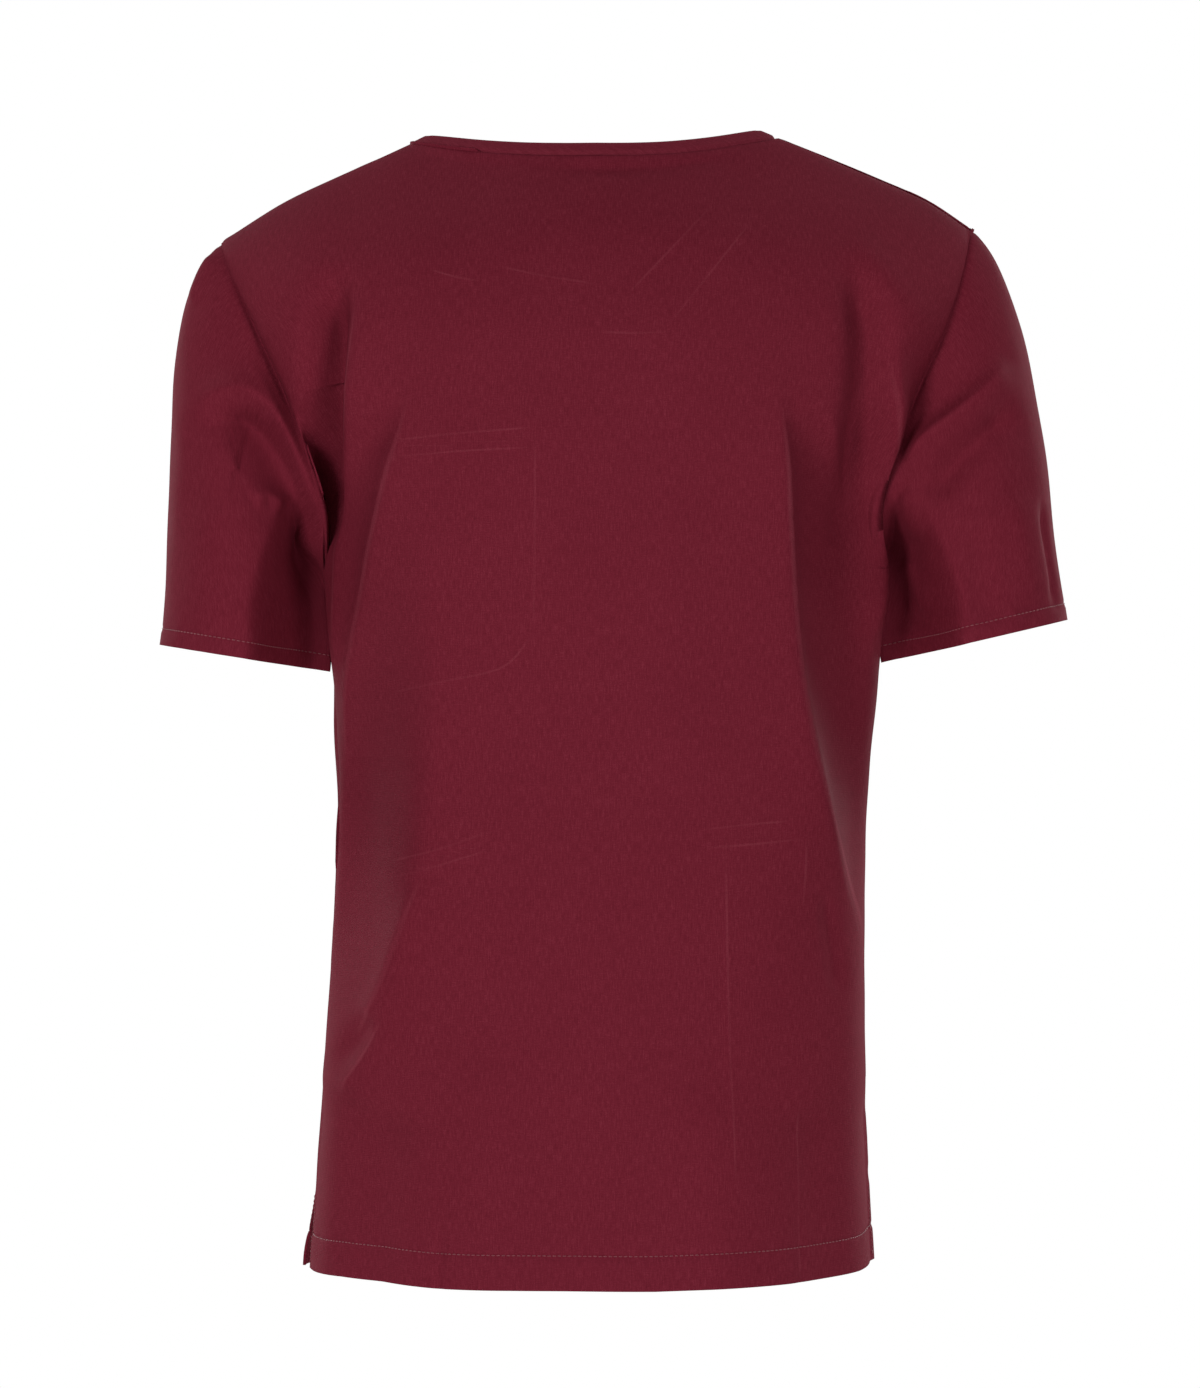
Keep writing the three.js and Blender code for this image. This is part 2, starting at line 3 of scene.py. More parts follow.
import bpy
import numpy as np
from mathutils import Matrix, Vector


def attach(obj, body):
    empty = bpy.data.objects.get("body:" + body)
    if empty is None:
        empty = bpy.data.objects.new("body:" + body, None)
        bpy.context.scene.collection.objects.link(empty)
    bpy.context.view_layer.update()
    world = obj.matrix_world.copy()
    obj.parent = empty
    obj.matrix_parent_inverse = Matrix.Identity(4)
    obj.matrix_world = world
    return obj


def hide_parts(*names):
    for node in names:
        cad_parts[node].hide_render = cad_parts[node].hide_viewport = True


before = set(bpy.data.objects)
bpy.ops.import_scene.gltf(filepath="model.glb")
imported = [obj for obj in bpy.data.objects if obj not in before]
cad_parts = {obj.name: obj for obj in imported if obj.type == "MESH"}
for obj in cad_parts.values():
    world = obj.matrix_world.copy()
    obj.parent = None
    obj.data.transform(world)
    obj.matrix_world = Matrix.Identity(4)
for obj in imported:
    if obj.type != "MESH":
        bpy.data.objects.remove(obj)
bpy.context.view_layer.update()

# Back and front. Each is one panel of a light polyester and viscose cloth, cut with a little shape at the waist,
# seamed at the shoulders and sides and hung from the shoulders. The front faces -Y and the wearer's left is +X.
# Lengths are millimetres until a mesh is made.
MM = 0.001
CLOTH, HEM_CLOTH = 0.9, 1.7
SEAM_GAP, CLOSED_SEAM = 0.3, 0.04
HEM_LEVEL, HEM_TILT = -712.0, 5.5
UNDERARM_LEVEL, YOKE_LEVEL = -272.0, -150.0
SQUARENESS = 2.5
SHOULDER_ROUNDING, ROUNDING_POWER = 110.0, 2.2
VENT_HEIGHT, VENT_OPEN, VENT_REACH = 46.0, 5.0, 30.0
SHOULDER_TIP = {-1: 237.0, 1: 236.0}
ARMHOLE_SCOOP = {"back": 0.42, "front": 0.46}
ARMHOLE_ROUND = 74.0
# How far the hem is drawn up at each place from the wearer's right to the left, and how far above it that fades
HEM_LIFT = ((-1, -1.0), (-0.8, -3.5), (-0.5, -4.0), (-0.15, -3.5), (0.2, 0.0), (0.38, 1.5), (0.55, 4.5), (0.7, 5.5),
            (1, 4.5))
HEM_LIFT_FADE = 120.0

# Cross-sections of the form from the hem up: half widths, then depths
SECTIONS = dict(zip(("z", "left", "right", "back", "front"), np.array([
    (-720, 179, 178, 130, 126),
    (-640, 174, 174, 126, 123),
    (-545, 167, 171, 121, 121),
    (-450, 162, 171, 118, 121),
    (-400, 161, 174, 117, 122),
    (-335, 163, 180, 121, 127),
    (-300, 166, 178.5, 123, 130),
    (-272, 169, 177.5, 125, 131),
    (-240, 173, 184, 126, 131),
    (-203, 187, 197, 126, 129),
    (-160, 204, 214, 123, 122),
    (-120, 223, 233, 117, 110),
    (-66, 247, 249, 95, 86),
    (-14, 254, 256, 58, 54),
    (12, 256, 258, 48, 44),
], float).T))
RIDGE = dict(zip(("out", "left", "right"), np.array([
    (0, 50, 52),
    (60, 23, 26),
    (92, 8, 11),
    (120, -5, -1),
    (150, -19, -13),
    (180, -33, -25.5),
    (210, -49, -39),
    (237, -66, -57),
], float).T))

# Neckline: half width, level behind, level at the V, for the band's seam and its free edge
NECK_SEAM = {"half": 116.0, "back": -15.0, "front": -135.0}
NECK_EDGE = {"half": 104.0, "back": -7.0, "front": -97.0}
NECK_SPREAD, V_CURVE = 2.5, 0.1
NECK_SHARE = 0.5


def smooth(share):
    """An even rise from nought to one."""
    share = np.clip(share, 0, 1)
    return share * share * (3 - 2 * share)


def hermite(start, start_pull, end, end_pull, t):
    """A curve between two points that leaves and arrives along the given pulls."""
    rise = t * t * (3 - 2 * t)
    return start * (1 - rise) + end * rise + start_pull * t * (1 - t) ** 2 - end_pull * t * t * (1 - t)


def along(table, key, at, column):
    """A smooth curve through one column of a table, read at the key's values."""
    keys, values = table[key], table[column]
    at = np.asarray(at, float)
    row = np.clip(np.searchsorted(keys, at) - 1, 0, len(keys) - 2)
    low, high = np.maximum(np.arange(len(keys)) - 1, 0), np.minimum(np.arange(len(keys)) + 1, len(keys) - 1)
    slopes = (values[high] - values[low]) / (keys[high] - keys[low])
    span = keys[row + 1] - keys[row]
    share = np.clip((at - keys[row]) / span, 0, 1)
    return hermite(values[row], slopes[row] * span, values[row + 1], slopes[row + 1] * span, share)


def by_side(table, key, at, x):
    """A table's value on the wearer's right or left."""
    return np.where(x < 0, along(table, key, at, "right"), along(table, key, at, "left"))


def half_width(x, z):
    return by_side(SECTIONS, "z", z, x)


def ridge_height(x):
    """Level of the shoulder line."""
    return by_side(RIDGE, "out", np.abs(x), x)


def form_depth(face, across, x, z):
    """How far behind or before the middle the cloth lies; across is x as a share of the form's half width."""
    bulge = np.clip(1 - np.clip(across, 0, 1) ** SQUARENESS, 0, 1) ** (1 / SQUARENESS)
    drop = np.clip((ridge_height(x) - z) / SHOULDER_ROUNDING, 0, 1)
    roof = (1 - (1 - drop) ** ROUNDING_POWER) ** (1 / ROUNDING_POWER)
    depth = CLOSED_SEAM / 2 + along(SECTIONS, "z", z, face) * bulge * roof
    return depth if face == "back" else -depth


def panel_edge(face, sign, z):
    """How far out a panel goes at a level: to the side seam, and above the underarm to the armhole's scoop."""
    climb = np.clip((z - UNDERARM_LEVEL) / ARMHOLE_ROUND, 0, 1)
    scoop = ARMHOLE_SCOOP[face] * np.sqrt(1 - (1 - climb) ** 2)
    return half_width(sign, z) * (1 - scoop ** SQUARENESS) ** (1 / SQUARENESS)


def neck_point(line, face, place):
    """A point of a neckline: a shallow bow behind, a V in front. Place runs from -1 to 1."""
    across = np.sin(place * math.pi / 2)
    x = line["half"] * across
    end = ridge_height(np.where(place < 0, -line["half"], line["half"]))
    out = np.abs(across)
    climb = out ** NECK_SPREAD if face == "back" else out + (out * out - out) * V_CURVE
    return x, line[face] + (end - line[face]) * climb


def top_edge(face, place):
    """A point of a panel's top edge: the neckline in the middle, then the shoulder seams."""
    out = np.abs(place)
    neck_x, neck_z = neck_point(NECK_SEAM, face, np.clip(place / NECK_SHARE, -1, 1))
    tip = np.where(place < 0, SHOULDER_TIP[-1], SHOULDER_TIP[1])
    x = np.sign(place) * (NECK_SEAM["half"] + (tip - NECK_SEAM["half"]) * (out - NECK_SHARE) / (1 - NECK_SHARE))
    on_neck = out < NECK_SHARE
    return np.where(on_neck, neck_x, x), np.where(on_neck, neck_z, ridge_height(x))


# Places across a panel, from the wearer's right to the left, and rows above the hem: close together at the seams
SEAM_CROWD = np.array([0.0, 0.35, 0.8, 1.4, 2.2, 3.2, 4.6, 6.4, 8.8])
HALF_ARC = 238.0
NECK_PLACES, SHOULDER_PLACES = 51, 46
half_places = np.concatenate([
    np.linspace(0, NECK_SHARE, NECK_PLACES)[:-1],
    np.linspace(NECK_SHARE, 1 - 11 / HALF_ARC, SHOULDER_PLACES),
    1 - SEAM_CROWD[::-1] / HALF_ARC,
])
PLACES = np.concatenate([-half_places[:0:-1], half_places])
MIDDLE = len(PLACES) // 2
HEM_ROWS = np.array([0, 0.4, 1.0, 1.8, 3, 5, 8, 12, 16, 19, 20.6, 21.4, 22.2, 23, 23.8, 25, 27, 30])
FIRST_BODY_ROW = 32.5
BODY_ROWS, ARMHOLE_ROWS, YOKE_ROWS = 175, 54, 72
YOKE_CROWD = 1.4
TOP_ROWS = [0.9975, 0.999, 1.0]
# Steps round a cross-section; the levels over which a column's course is evened; the place where it starts to close up
ARC_STEPS = 90
COURSE_SPAN = (-42, -28, -14, 0, 14, 28, 42)
COURSE_START = 0.66


def run_along(line):
    """Length along a line to each of its points."""
    return np.concatenate([[0], np.cumsum(np.linalg.norm(np.diff(line, axis=0), axis=1))])


def cross_section(face, sign, level):
    """Angles round a level cross-section of the form and the cloth's length to each, out to the panel's edge."""
    width, depth = float(half_width(sign, level)), float(along(SECTIONS, "z", level, face))
    edge = float(panel_edge(face, sign, level))
    fan = np.linspace(0, math.asin(min(1.0, (edge / width) ** (SQUARENESS / 2))), ARC_STEPS)
    x, y = width * np.sin(fan) ** (2 / SQUARENESS), depth * np.cos(fan) ** (2 / SQUARENESS)
    return fan, run_along(np.stack([x, y], axis=1))


def level_angles(face, level):
    """Angle on the form's cross-section for each place of a level row. The columns keep an even course past the
    foot of the armhole, and only the outer ones close up to its edge."""
    angles = np.empty(len(PLACES))
    for sign in (-1, 1):
        fan, length = cross_section(face, sign, level)
        near = [cross_section(face, sign, level + step)[1][-1] for step in COURSE_SPAN]
        course = sum(near) / len(near)
        these = PLACES < 0 if sign < 0 else PLACES >= 0
        place = np.abs(PLACES[these])
        wanted = place * course + (length[-1] - course) * smooth((place - COURSE_START) / (1 - COURSE_START))
        angles[these] = np.interp(wanted, length, fan)
    return angles


def panel_form(face):
    """The plain form of a panel, as rows of points from the hem to the shoulders, and how many of them are level."""
    levels = np.concatenate([
        HEM_LEVEL + HEM_ROWS,
        np.linspace(HEM_LEVEL + FIRST_BODY_ROW, UNDERARM_LEVEL, BODY_ROWS),
        np.linspace(UNDERARM_LEVEL, YOKE_LEVEL, ARMHOLE_ROWS)[1:],
    ])
    rows = []
    sign = np.where(PLACES < 0, -1, 1)
    for level in levels:
        angle = level_angles(face, level)
        tilt = HEM_TILT * max(UNDERARM_LEVEL - level, 0) / (UNDERARM_LEVEL - HEM_LEVEL)
        lift = np.interp(PLACES, *zip(*HEM_LIFT)) * smooth(1 - (level - HEM_LEVEL) / HEM_LIFT_FADE)
        z = level - tilt * np.sin(PLACES * math.pi / 2) + lift
        across = np.sin(angle) ** (2 / SQUARENESS)
        x = sign * half_width(sign, z) * across
        rows.append(np.stack([x, form_depth(face, across, x, z), z], axis=1))
    yoke_x, yoke_z = rows[-1][:, 0], rows[-1][:, 2]
    top_x, top_z = top_edge(face, PLACES)
    share = (PLACES + 1) / 2
    tips = {side: (side * SHOULDER_TIP[side], float(ridge_height(side * SHOULDER_TIP[side]))) for side in (-1, 1)}
    climbs = 1 - (1 - np.linspace(0, 1, YOKE_ROWS)[1:-1]) ** YOKE_CROWD
    for climb in np.concatenate([climbs, TOP_ROWS]):
        edges = {}
        for side, (tip_x, tip_z) in tips.items():
            z = YOKE_LEVEL + (tip_z - YOKE_LEVEL) * climb
            edges[side] = (tip_x if climb == 1 else side * float(panel_edge(face, side, z)), z)
        point = []
        for axis, (low, high) in enumerate(((yoke_x, top_x), (yoke_z, top_z))):
            sides = edges[-1][axis] * (1 - share) + edges[1][axis] * share
            feet = low[0] * (1 - share) + low[-1] * share
            ends = tips[-1][axis] * (1 - share) + tips[1][axis] * share
            point.append(low + (high - low) * climb + sides - feet * (1 - climb) - ends * climb)
        x, z = point
        across = np.abs(x) / half_width(x, z)
        rows.append(np.stack([x, form_depth(face, across, x, z), z], axis=1))
    return np.array(rows), len(levels)


def grid_normals(grid, outward, around=False):
    """Unit normals of a grid of points, which closes on itself across when around is set."""
    up = np.gradient(grid, axis=0)
    up[1:-1] = grid[2:] - grid[:-2]
    over = np.roll(grid, -1, axis=1) - np.roll(grid, 1, axis=1)
    if not around:
        over[:, 0], over[:, -1] = grid[:, 1] - grid[:, 0], grid[:, -1] - grid[:, -2]
    normal = np.cross(over, up) * outward
    return normal / np.maximum(np.linalg.norm(normal, axis=2, keepdims=True), 1e-9)


def bend(path, steps=30):
    """A smooth line through a few points, as evenly stepped points and each one's share of the way."""
    path = np.array(path, float)
    knots = run_along(path)
    at = np.linspace(0, knots[-1], steps)
    table = {"s": knots, **{k: path[:, k] for k in range(path.shape[1])}}
    return np.stack([along(table, "s", at, k) for k in range(path.shape[1])], axis=1), at / knots[-1]


def nearest_on(points, path):
    """Signed distance of the points from a line, and how far along it they lie; plus is the left of its way down."""
    x, z = points[..., 0], points[..., 2]
    line, share = bend(path)
    best, place, flank = np.full(x.shape, 1e9), np.zeros(x.shape), np.zeros(x.shape)
    for k in range(len(line) - 1):
        (x0, z0), (dx, dz) = line[k], line[k + 1] - line[k]
        t = np.clip(((x - x0) * dx + (z - z0) * dz) / (dx * dx + dz * dz), 0, 1)
        gap = np.hypot(x - x0 - t * dx, z - z0 - t * dz)
        nearer = gap < best
        best = np.where(nearer, gap, best)
        place = np.where(nearer, share[k] + t * (share[k + 1] - share[k]), place)
        flank = np.where(nearer, dx * (z - z0) - dz * (x - x0), flank)
    return np.where(flank > 0, best, -best), place


def fold_relief(points, folds):
    """Height of soft folds at the points. A fold's two flanks may differ in width; low crispness is a sharper crest.
    Folds grow over the first quarter of their way and die out over the last, unless they run out through the hem."""
    relief = np.zeros(points.shape[:-1])
    for height, left, right, crispness, path in folds:
        offset, place = nearest_on(points, path)
        through_hem = path[-1][1] < HEM_LEVEL + 12
        ends = smooth(place * 4) * (1.0 if through_hem else smooth((1 - place) * 4))
        relief += height * ends * np.exp(-((np.abs(offset) / np.where(offset > 0, left, right)) ** crispness))
    return relief


def painted_highlight_lines(points, lines):
    """Painted highlights along thin lines, the pale strokes laid on fold crests and pressed-through seams: the nearest
    line's offset, as a share of its width, and its strength, which is nought away from every line."""
    offset, strength = np.full(points.shape[:-1], 9.0), np.zeros(points.shape[:-1])
    for k, (amount, width, path) in enumerate(lines):
        gap, place = nearest_on(points, path)
        beside = 1 - smooth((np.abs(gap) - width - LINE_MARGIN) / LINE_MARGIN)
        uneven = 0.72 + 0.28 * np.sin(place * (5 + k % 4) + 1.7 * k)
        ends = smooth(place * 6) * smooth((1 - place) * 6)
        nearer = np.abs(gap / width) < np.abs(offset)
        offset = np.where(nearer, gap / width, offset)
        strength = np.where(nearer, amount * uneven * ends * beside, strength)
    return offset, strength


def waviness(points, seed, size, height, waves=7):
    """Slow unevenness of hanging cloth: a few crossed waves of random heading, about a size apart."""
    rng = np.random.default_rng(seed)
    relief = np.zeros(points.shape[:-1])
    for _ in range(waves):
        heading = rng.normal(size=3)
        heading[2] *= 0.45
        heading /= np.linalg.norm(heading)
        wave = size * rng.uniform(0.6, 1.7)
        relief += np.sin(points @ heading * 2 * math.pi / wave + rng.uniform(0, 6.28)) / waves ** 0.5
    return height * relief


def pucker(length, from_seam, seed, pitch=11.0, reach=6.0, height=0.5):
    """Short gathers beside a seam, uneven in spacing and depth."""
    rng = np.random.default_rng(seed)
    knots = np.cumsum(rng.uniform(0.45, 1.6, 400) * pitch)
    heights = rng.uniform(-1, 1, 400)
    return height * np.interp(length, knots, heights) * np.exp(-((from_seam / reach) ** 2))


def lengths(grid, axis):
    """Length along a grid's rows or columns to each of its points."""
    step = np.linalg.norm(np.diff(grid, axis=axis), axis=2)
    pad = [(0, 0), (0, 0)]
    pad[axis] = (1, 0)
    return np.cumsum(np.pad(step, pad), axis=axis)


# A painted highlight line's strength is kept this far out past its edge, a little more than the grid's step
LINE_MARGIN = 2.6
# Bands beside the side seams that hang flatter than the form: which side, how wide, whether the crest they start at is
# sharp or soft, then at each level where across they start and the share of the depth they take
SIDE_BANDS = {
    "back": [
        (-1, 40, "sharp", [(-172, -114, 0), (-215, -117, 0.24), (-270, -120, 0.4), (-325, -124, 0.46),
                           (-365, -130, 0.5), (-405, -138, 0.52), (-450, -150, 0.52), (-486, -162, 0.5),
                           (-515, -168, 0.4), (-560, -174, 0)]),
        (1, 40, "sharp", [(-165, 112, 0), (-194, 118, 0.16), (-252, 131, 0.36), (-311, 141, 0.4), (-350, 150, 0.2),
                          (-385, 156, 0)]),
        (1, 62, "soft", [(-215, 98, 0), (-270, 96, 0.14), (-330, 94, 0.36), (-390, 95, 0.58), (-440, 100, 0.66),
                         (-490, 109, 0.62), (-535, 122, 0.44), (-590, 140, 0)]),
    ],
    "front": [
        (-1, 40, "sharp", [(-190, -116, 0), (-270, -122, 0.32), (-360, -132, 0.4), (-450, -148, 0.3),
                           (-515, -160, 0)]),
        (1, 44, "sharp", [(-180, 118, 0), (-260, 125, 0.3), (-340, 136, 0.38), (-420, 148, 0.26), (-490, 158, 0)]),
    ],
}
# Crests that the back's folds and its painted highlight lines share, as (x, z) going down
LEFT_CREST = [(112, -160), (118, -194), (131, -252), (142, -311), (152, -363), (157, -410)]
LEFT_WAIST_CREST = [(104, -460), (116, -500), (134, -543), (152, -566)]
# Folds of the back: height, width of the left and right flank, crispness, then the way down
BACK_FOLDS = [
    (-22.0, 11, 10, 2.0, [(157, -84), (162, -125), (166, -180), (165, -222), (163, -264)]),
    (7.0, 8, 14, 1.5, [(149, -95), (148, -150), (151, -225), (156, -300), (155, -372)]),
    (5.0, 7, 24, 1.3, LEFT_CREST),
    (5.0, 9, 22, 1.4, LEFT_WAIST_CREST),
    (3.0, 6, 14, 1.5, [(122, -552), (140, -576), (160, -602)]),
    (-2.5, 7, 7, 1.9, [(132, -546), (148, -566), (163, -584)]),
    (-9.0, 30, 26, 2.0, [(136, -590), (141, -660), (144, -716)]),
    (-8.0, 26, 30, 2.0, [(-140, -590), (-145, -660), (-149, -716)]),
    (5.0, 26, 6, 1.2, [(-112, -140), (-116, -192), (-119, -260), (-124, -325), (-138, -405), (-165, -486)]),
    (12.0, 9, 8, 1.5, [(-189, -128), (-184, -180), (-174, -235), (-172, -290), (-170, -340)]),
    (-14.0, 13, 10, 2.0, [(-154, -74), (-170, -112), (-172, -160), (-163, -220), (-160, -280)]),
    (2.2, 16, 13, 1.8, [(-158, -62), (-187, -104), (-214, -124)]),
    (4.0, 8, 9, 1.5, [(-146, -175), (-154, -215), (-162, -250)]),
    (-3.2, 5, 5, 1.7, [(-143, -470), (-148, -505), (-153, -540)]),
    (-2.0, 7, 5, 1.8, [(30, -24), (-40, -22), (-98, -14)]),
    (3.5, 24, 20, 2.0, [(62, -560), (66, -640), (68, -716)]),
    (-3.0, 22, 22, 2.0, [(20, -590), (16, -650), (18, -716)]),
    (3.5, 22, 26, 2.0, [(-66, -580), (-74, -650), (-78, -716)]),
    (2.5, 30, 30, 2.0, [(30, -150), (28, -240), (24, -330)]),
    (2.5, 26, 30, 2.0, [(-52, -200), (-50, -300), (-44, -420)]),
    (-3.0, 34, 26, 2.0, [(-84, -190), (-70, -280), (-46, -380)]),
    (-2.0, 30, 26, 2.0, [(70, -240), (72, -330), (66, -430)]),
]
# The front's seams and pocket edges have pressed faintly through to the back as low ridges; along these lines and the
# folds' crests the cloth carries painted highlights, paler strokes that stand in for the seams' sheen and the light on
# the crests: strength, half width and way
PRESSED_LINES = [
    (0.28, 0.8, [(100, -90), (84, -95), (69, -98)]),
    (0.28, 0.8, [(57, -89), (30, -95), (-1, -100)]),
    (0.26, 0.8, [(-75, -48), (-48, -78), (-20, -108)]),
    (0.26, 0.8, [(-99, -58), (-73, -92), (-46, -126)]),
    (0.26, 0.8, [(-4, -130), (-26, -131), (-47, -130)]),
    (0.28, 0.8, [(121, -196), (80, -192), (35, -189)]),
    (0.26, 0.7, [(121, -206), (80, -203), (34, -201)]),
    (0.2, 0.8, [(35, -189), (35, -250), (36, -314)]),
    (0.26, 0.8, [(36, -314), (54, -334), (90, -343), (127, -351)]),
    (0.26, 0.8, [(-67, -434), (-94, -431), (-120, -429)]),
    (0.26, 0.8, [(-67, -445), (-98, -443), (-129, -440)]),
    (0.26, 0.9, [(-81, -445), (-83, -540), (-87, -656)]),
    (0.24, 0.8, [(126, -455), (94, -446), (63, -435)]),
    (0.2, 0.8, [(124, -465), (94, -456), (63, -446)]),
    (0.26, 0.8, [(-130, -440), (-130, -462), (-129, -482)]),
    (0.24, 0.8, [(-129, -600), (-130, -660), (-130, -716)]),
]
CREST_LINES = [
    (0.6, 1.3, [(-114, -168), (-116, -192), (-119, -260), (-124, -325), (-138, -405), (-165, -486), (-170, -520)]),
    (0.34, 1.1, [(-184, -142), (-183, -190), (-180, -234), (-178, -262)]),
    (0.3, 1.2, LEFT_CREST),
    (0.3, 1.1, [(146.6, -105), (152.4, -200), (156, -242), (157, -325)]),
    (0.28, 1.5, LEFT_WAIST_CREST),
    (0.3, 1.3, [(126, -548), (141, -574), (158, -600)]),
]
BACK_PRESSED = [
    (0.35, 2.2, 2.2, 1.6, way) for _, _, way in PRESSED_LINES
] + [
    (-1.8, 3.0, 3.0, 1.5, [(93, -676), (93, -696), (94, -716)]),
    (-1.2, 2.6, 2.6, 1.5, [(-129, -660), (-130, -690), (-130, -716)]),
]
FRONT_FOLDS = [
    (8.0, 8, 18, 1.3, [(-116, -190), (-121, -260), (-132, -360), (-150, -460)]),
    (-7.0, 14, 16, 2.0, [(-150, -150), (-156, -205), (-160, -262)]),
    (8.0, 18, 8, 1.3, [(118, -170), (124, -250), (136, -340), (152, -430)]),
    (-6.0, 12, 12, 2.0, [(152, -140), (160, -200), (162, -258)]),
    (-6.0, 26, 22, 2.0, [(24, -220), (20, -320), (28, -430)]),
    (5.0, 14, 10, 1.7, [(50, -112), (84, -142), (124, -158)]),
    (5.0, 10, 14, 1.7, [(-52, -118), (-92, -146), (-134, -156)]),
    (-4.0, 9, 9, 1.8, [(2, -142), (6, -178), (1, -226)]),
    (6.0, 22, 26, 2.0, [(-16, -500), (-14, -610), (-20, -716)]),
    (-5.0, 18, 18, 2.0, [(30, -540), (28, -630), (35, -716)]),
    (4.0, 16, 18, 2.0, [(100, -676), (104, -716)]),
    (4.0, 18, 16, 2.0, [(-110, -676), (-112, -716)]),
]
# The dips at the side, shoulder and neck seams, the distances over which folds and ripples die out before a seam,
# slow waves and ripples as size and height, and the gathers beside the seams
SEAM_DIP, SEAM_DIP_WIDTH = 0.9, 2.6
NECK_DIP, NECK_DIP_WIDTH = 1.3, 1.7
FOLD_FADE, EDGE_FADE, RIPPLE_FADE, GATHER_FADE = 13.0, 4.0, 9.0, 3.0
UNDERARM_BLUR = 15
PANEL_WAVES, PANEL_RIPPLES = (150, 1.1), (46, 0.22)
TOP_GATHER, GATHER_FOOT = 0.3, 30.0
# A turned hem: its depth, how far the doubled cloth stands out and over what width, the dip and gathers at its stitches
PANEL_HEM = {"depth": 23.0, "step": 0.45, "ease": 3.0, "dip": 0.7, "dip_width": 1.5, "gather": 9.0}
STITCH_INSET, HEM_GATHER, HEM_THICKENING = 1.6, 0.45, 1.2


def turned_hem(run, from_hem, hem, seed):
    """Relief of a turned hem, with run the length along it."""
    from_stitches = np.abs(from_hem - hem["depth"] + STITCH_INSET)
    relief = hem["step"] * smooth((hem["depth"] - from_hem) / hem["ease"])
    relief -= hem["dip"] * np.exp(-((from_stitches / hem["dip_width"]) ** 2))
    return relief + pucker(run, from_stitches, seed, pitch=hem["gather"], reach=hem["gather"], height=HEM_GATHER)


def wall_thickness(from_hem, hem):
    return CLOTH + (HEM_CLOTH - CLOTH) * smooth((hem["depth"] - from_hem) / HEM_THICKENING)


def flatten_sides(form, from_side, bands):
    """Takes away some of the form's depth in the bands beside the side seams."""
    for sign, reach, crest, table in bands:
        level, start, share = np.array(table[::-1], float).T
        z = form[..., 2]
        into = np.clip((sign * form[..., 0] - sign * np.interp(z, level, start)) / reach, 0, 1)
        taken = np.interp(z, level, share) * (1 - (1 - into) ** 2 if crest == "sharp" else smooth(into))
        form[..., 1] *= 1 - taken * smooth(from_side / FOLD_FADE)


def fold_fade(from_side, from_top):
    """How much of the folds is left beside the seams, evened out where the armhole's foot turns into the side."""
    kernel = np.hanning(UNDERARM_BLUR + 2)[1:-1]
    fade = np.pad(smooth(from_side / FOLD_FADE), ((UNDERARM_BLUR // 2,) * 2, (0, 0)), mode="edge")
    fade = np.apply_along_axis(lambda line: np.convolve(line, kernel / kernel.sum(), "valid"), 0, fade)
    return fade * (smooth(from_side / EDGE_FADE) * smooth(from_top / FOLD_FADE))


def make_panel(face, folds, pressed, seed):
    """The outer and inner side of one panel: its form with the folds, seams, gathers, hem and vents."""
    form, level_rows = panel_form(face)
    outward = -1 if face == "back" else 1
    across, from_hem = lengths(form, 1), lengths(form, 0)
    from_side, from_top = np.minimum(across, across[:, -1:] - across), from_hem[-1:] - from_hem
    flatten_sides(form, from_side, SIDE_BANDS[face])
    base = grid_normals(form, outward)
    on_neck = np.abs(PLACES) < NECK_SHARE

    relief = fold_fade(from_side, from_top) * (fold_relief(form, folds) + waviness(form, seed, *PANEL_WAVES))
    ripples = fold_relief(form, pressed) + waviness(form, seed + 1, *PANEL_RIPPLES)
    relief += smooth(from_side / RIPPLE_FADE) * smooth(from_top / RIPPLE_FADE) * ripples
    relief -= SEAM_DIP * np.exp(-((from_side / SEAM_DIP_WIDTH) ** 2)) * smooth((from_hem - VENT_HEIGHT) / 8)
    dip, dip_width = np.where(on_neck, NECK_DIP, SEAM_DIP), np.where(on_neck, NECK_DIP_WIDTH, SEAM_DIP_WIDTH)
    relief -= dip * np.exp(-((from_top / dip_width) ** 2))
    side_gathers = pucker(from_hem, from_side, seed + 2) * smooth(from_side / GATHER_FADE)
    relief += side_gathers * smooth((from_hem - GATHER_FOOT) / 10)
    relief += pucker(across, from_top, seed + 3, height=TOP_GATHER) * smooth(from_top / GATHER_FADE)
    relief += turned_hem(across, from_hem, PANEL_HEM, seed + 4)
    outer = form + base * relief[..., None]

    # The panels part at the side vents, and the front's left corner stands out a little past the back's
    parted = VENT_OPEN * smooth(1.1 - from_hem / VENT_HEIGHT) * smooth(1 - from_side / VENT_REACH)
    outer[..., 1] -= outward * parted
    if face == "front":
        outer[..., 0] += np.where(outer[..., 0] > 0, parted, 0)

    # The cloth's ends stand square to the side and shoulder seams
    normals = grid_normals(outer, outward)
    normals[:level_rows, (0, -1), 1] = 0
    normals[-1, ~on_neck, 1] = 0
    normals /= np.linalg.norm(normals, axis=2, keepdims=True)
    across = lengths(outer, 1)
    return {
        "outer": outer, "normals": normals, "inner": outer - normals * wall_thickness(from_hem, PANEL_HEM)[..., None],
        "across": across - across[:, MIDDLE][:, None], "up": from_hem,
        # Painted highlights on the back: pale lines on the fold crests and the pressed-through seams
        "painted_highlights": painted_highlight_lines(form, PRESSED_LINES + CREST_LINES) if face == "back" else None,
        "underarm_row": int(np.argmin(np.abs(form[:, MIDDLE, 2] - UNDERARM_LEVEL))),
    }


def new_object(name, data):
    piece = bpy.data.objects.new(name, data)
    bpy.context.collection.objects.link(piece)
    return piece


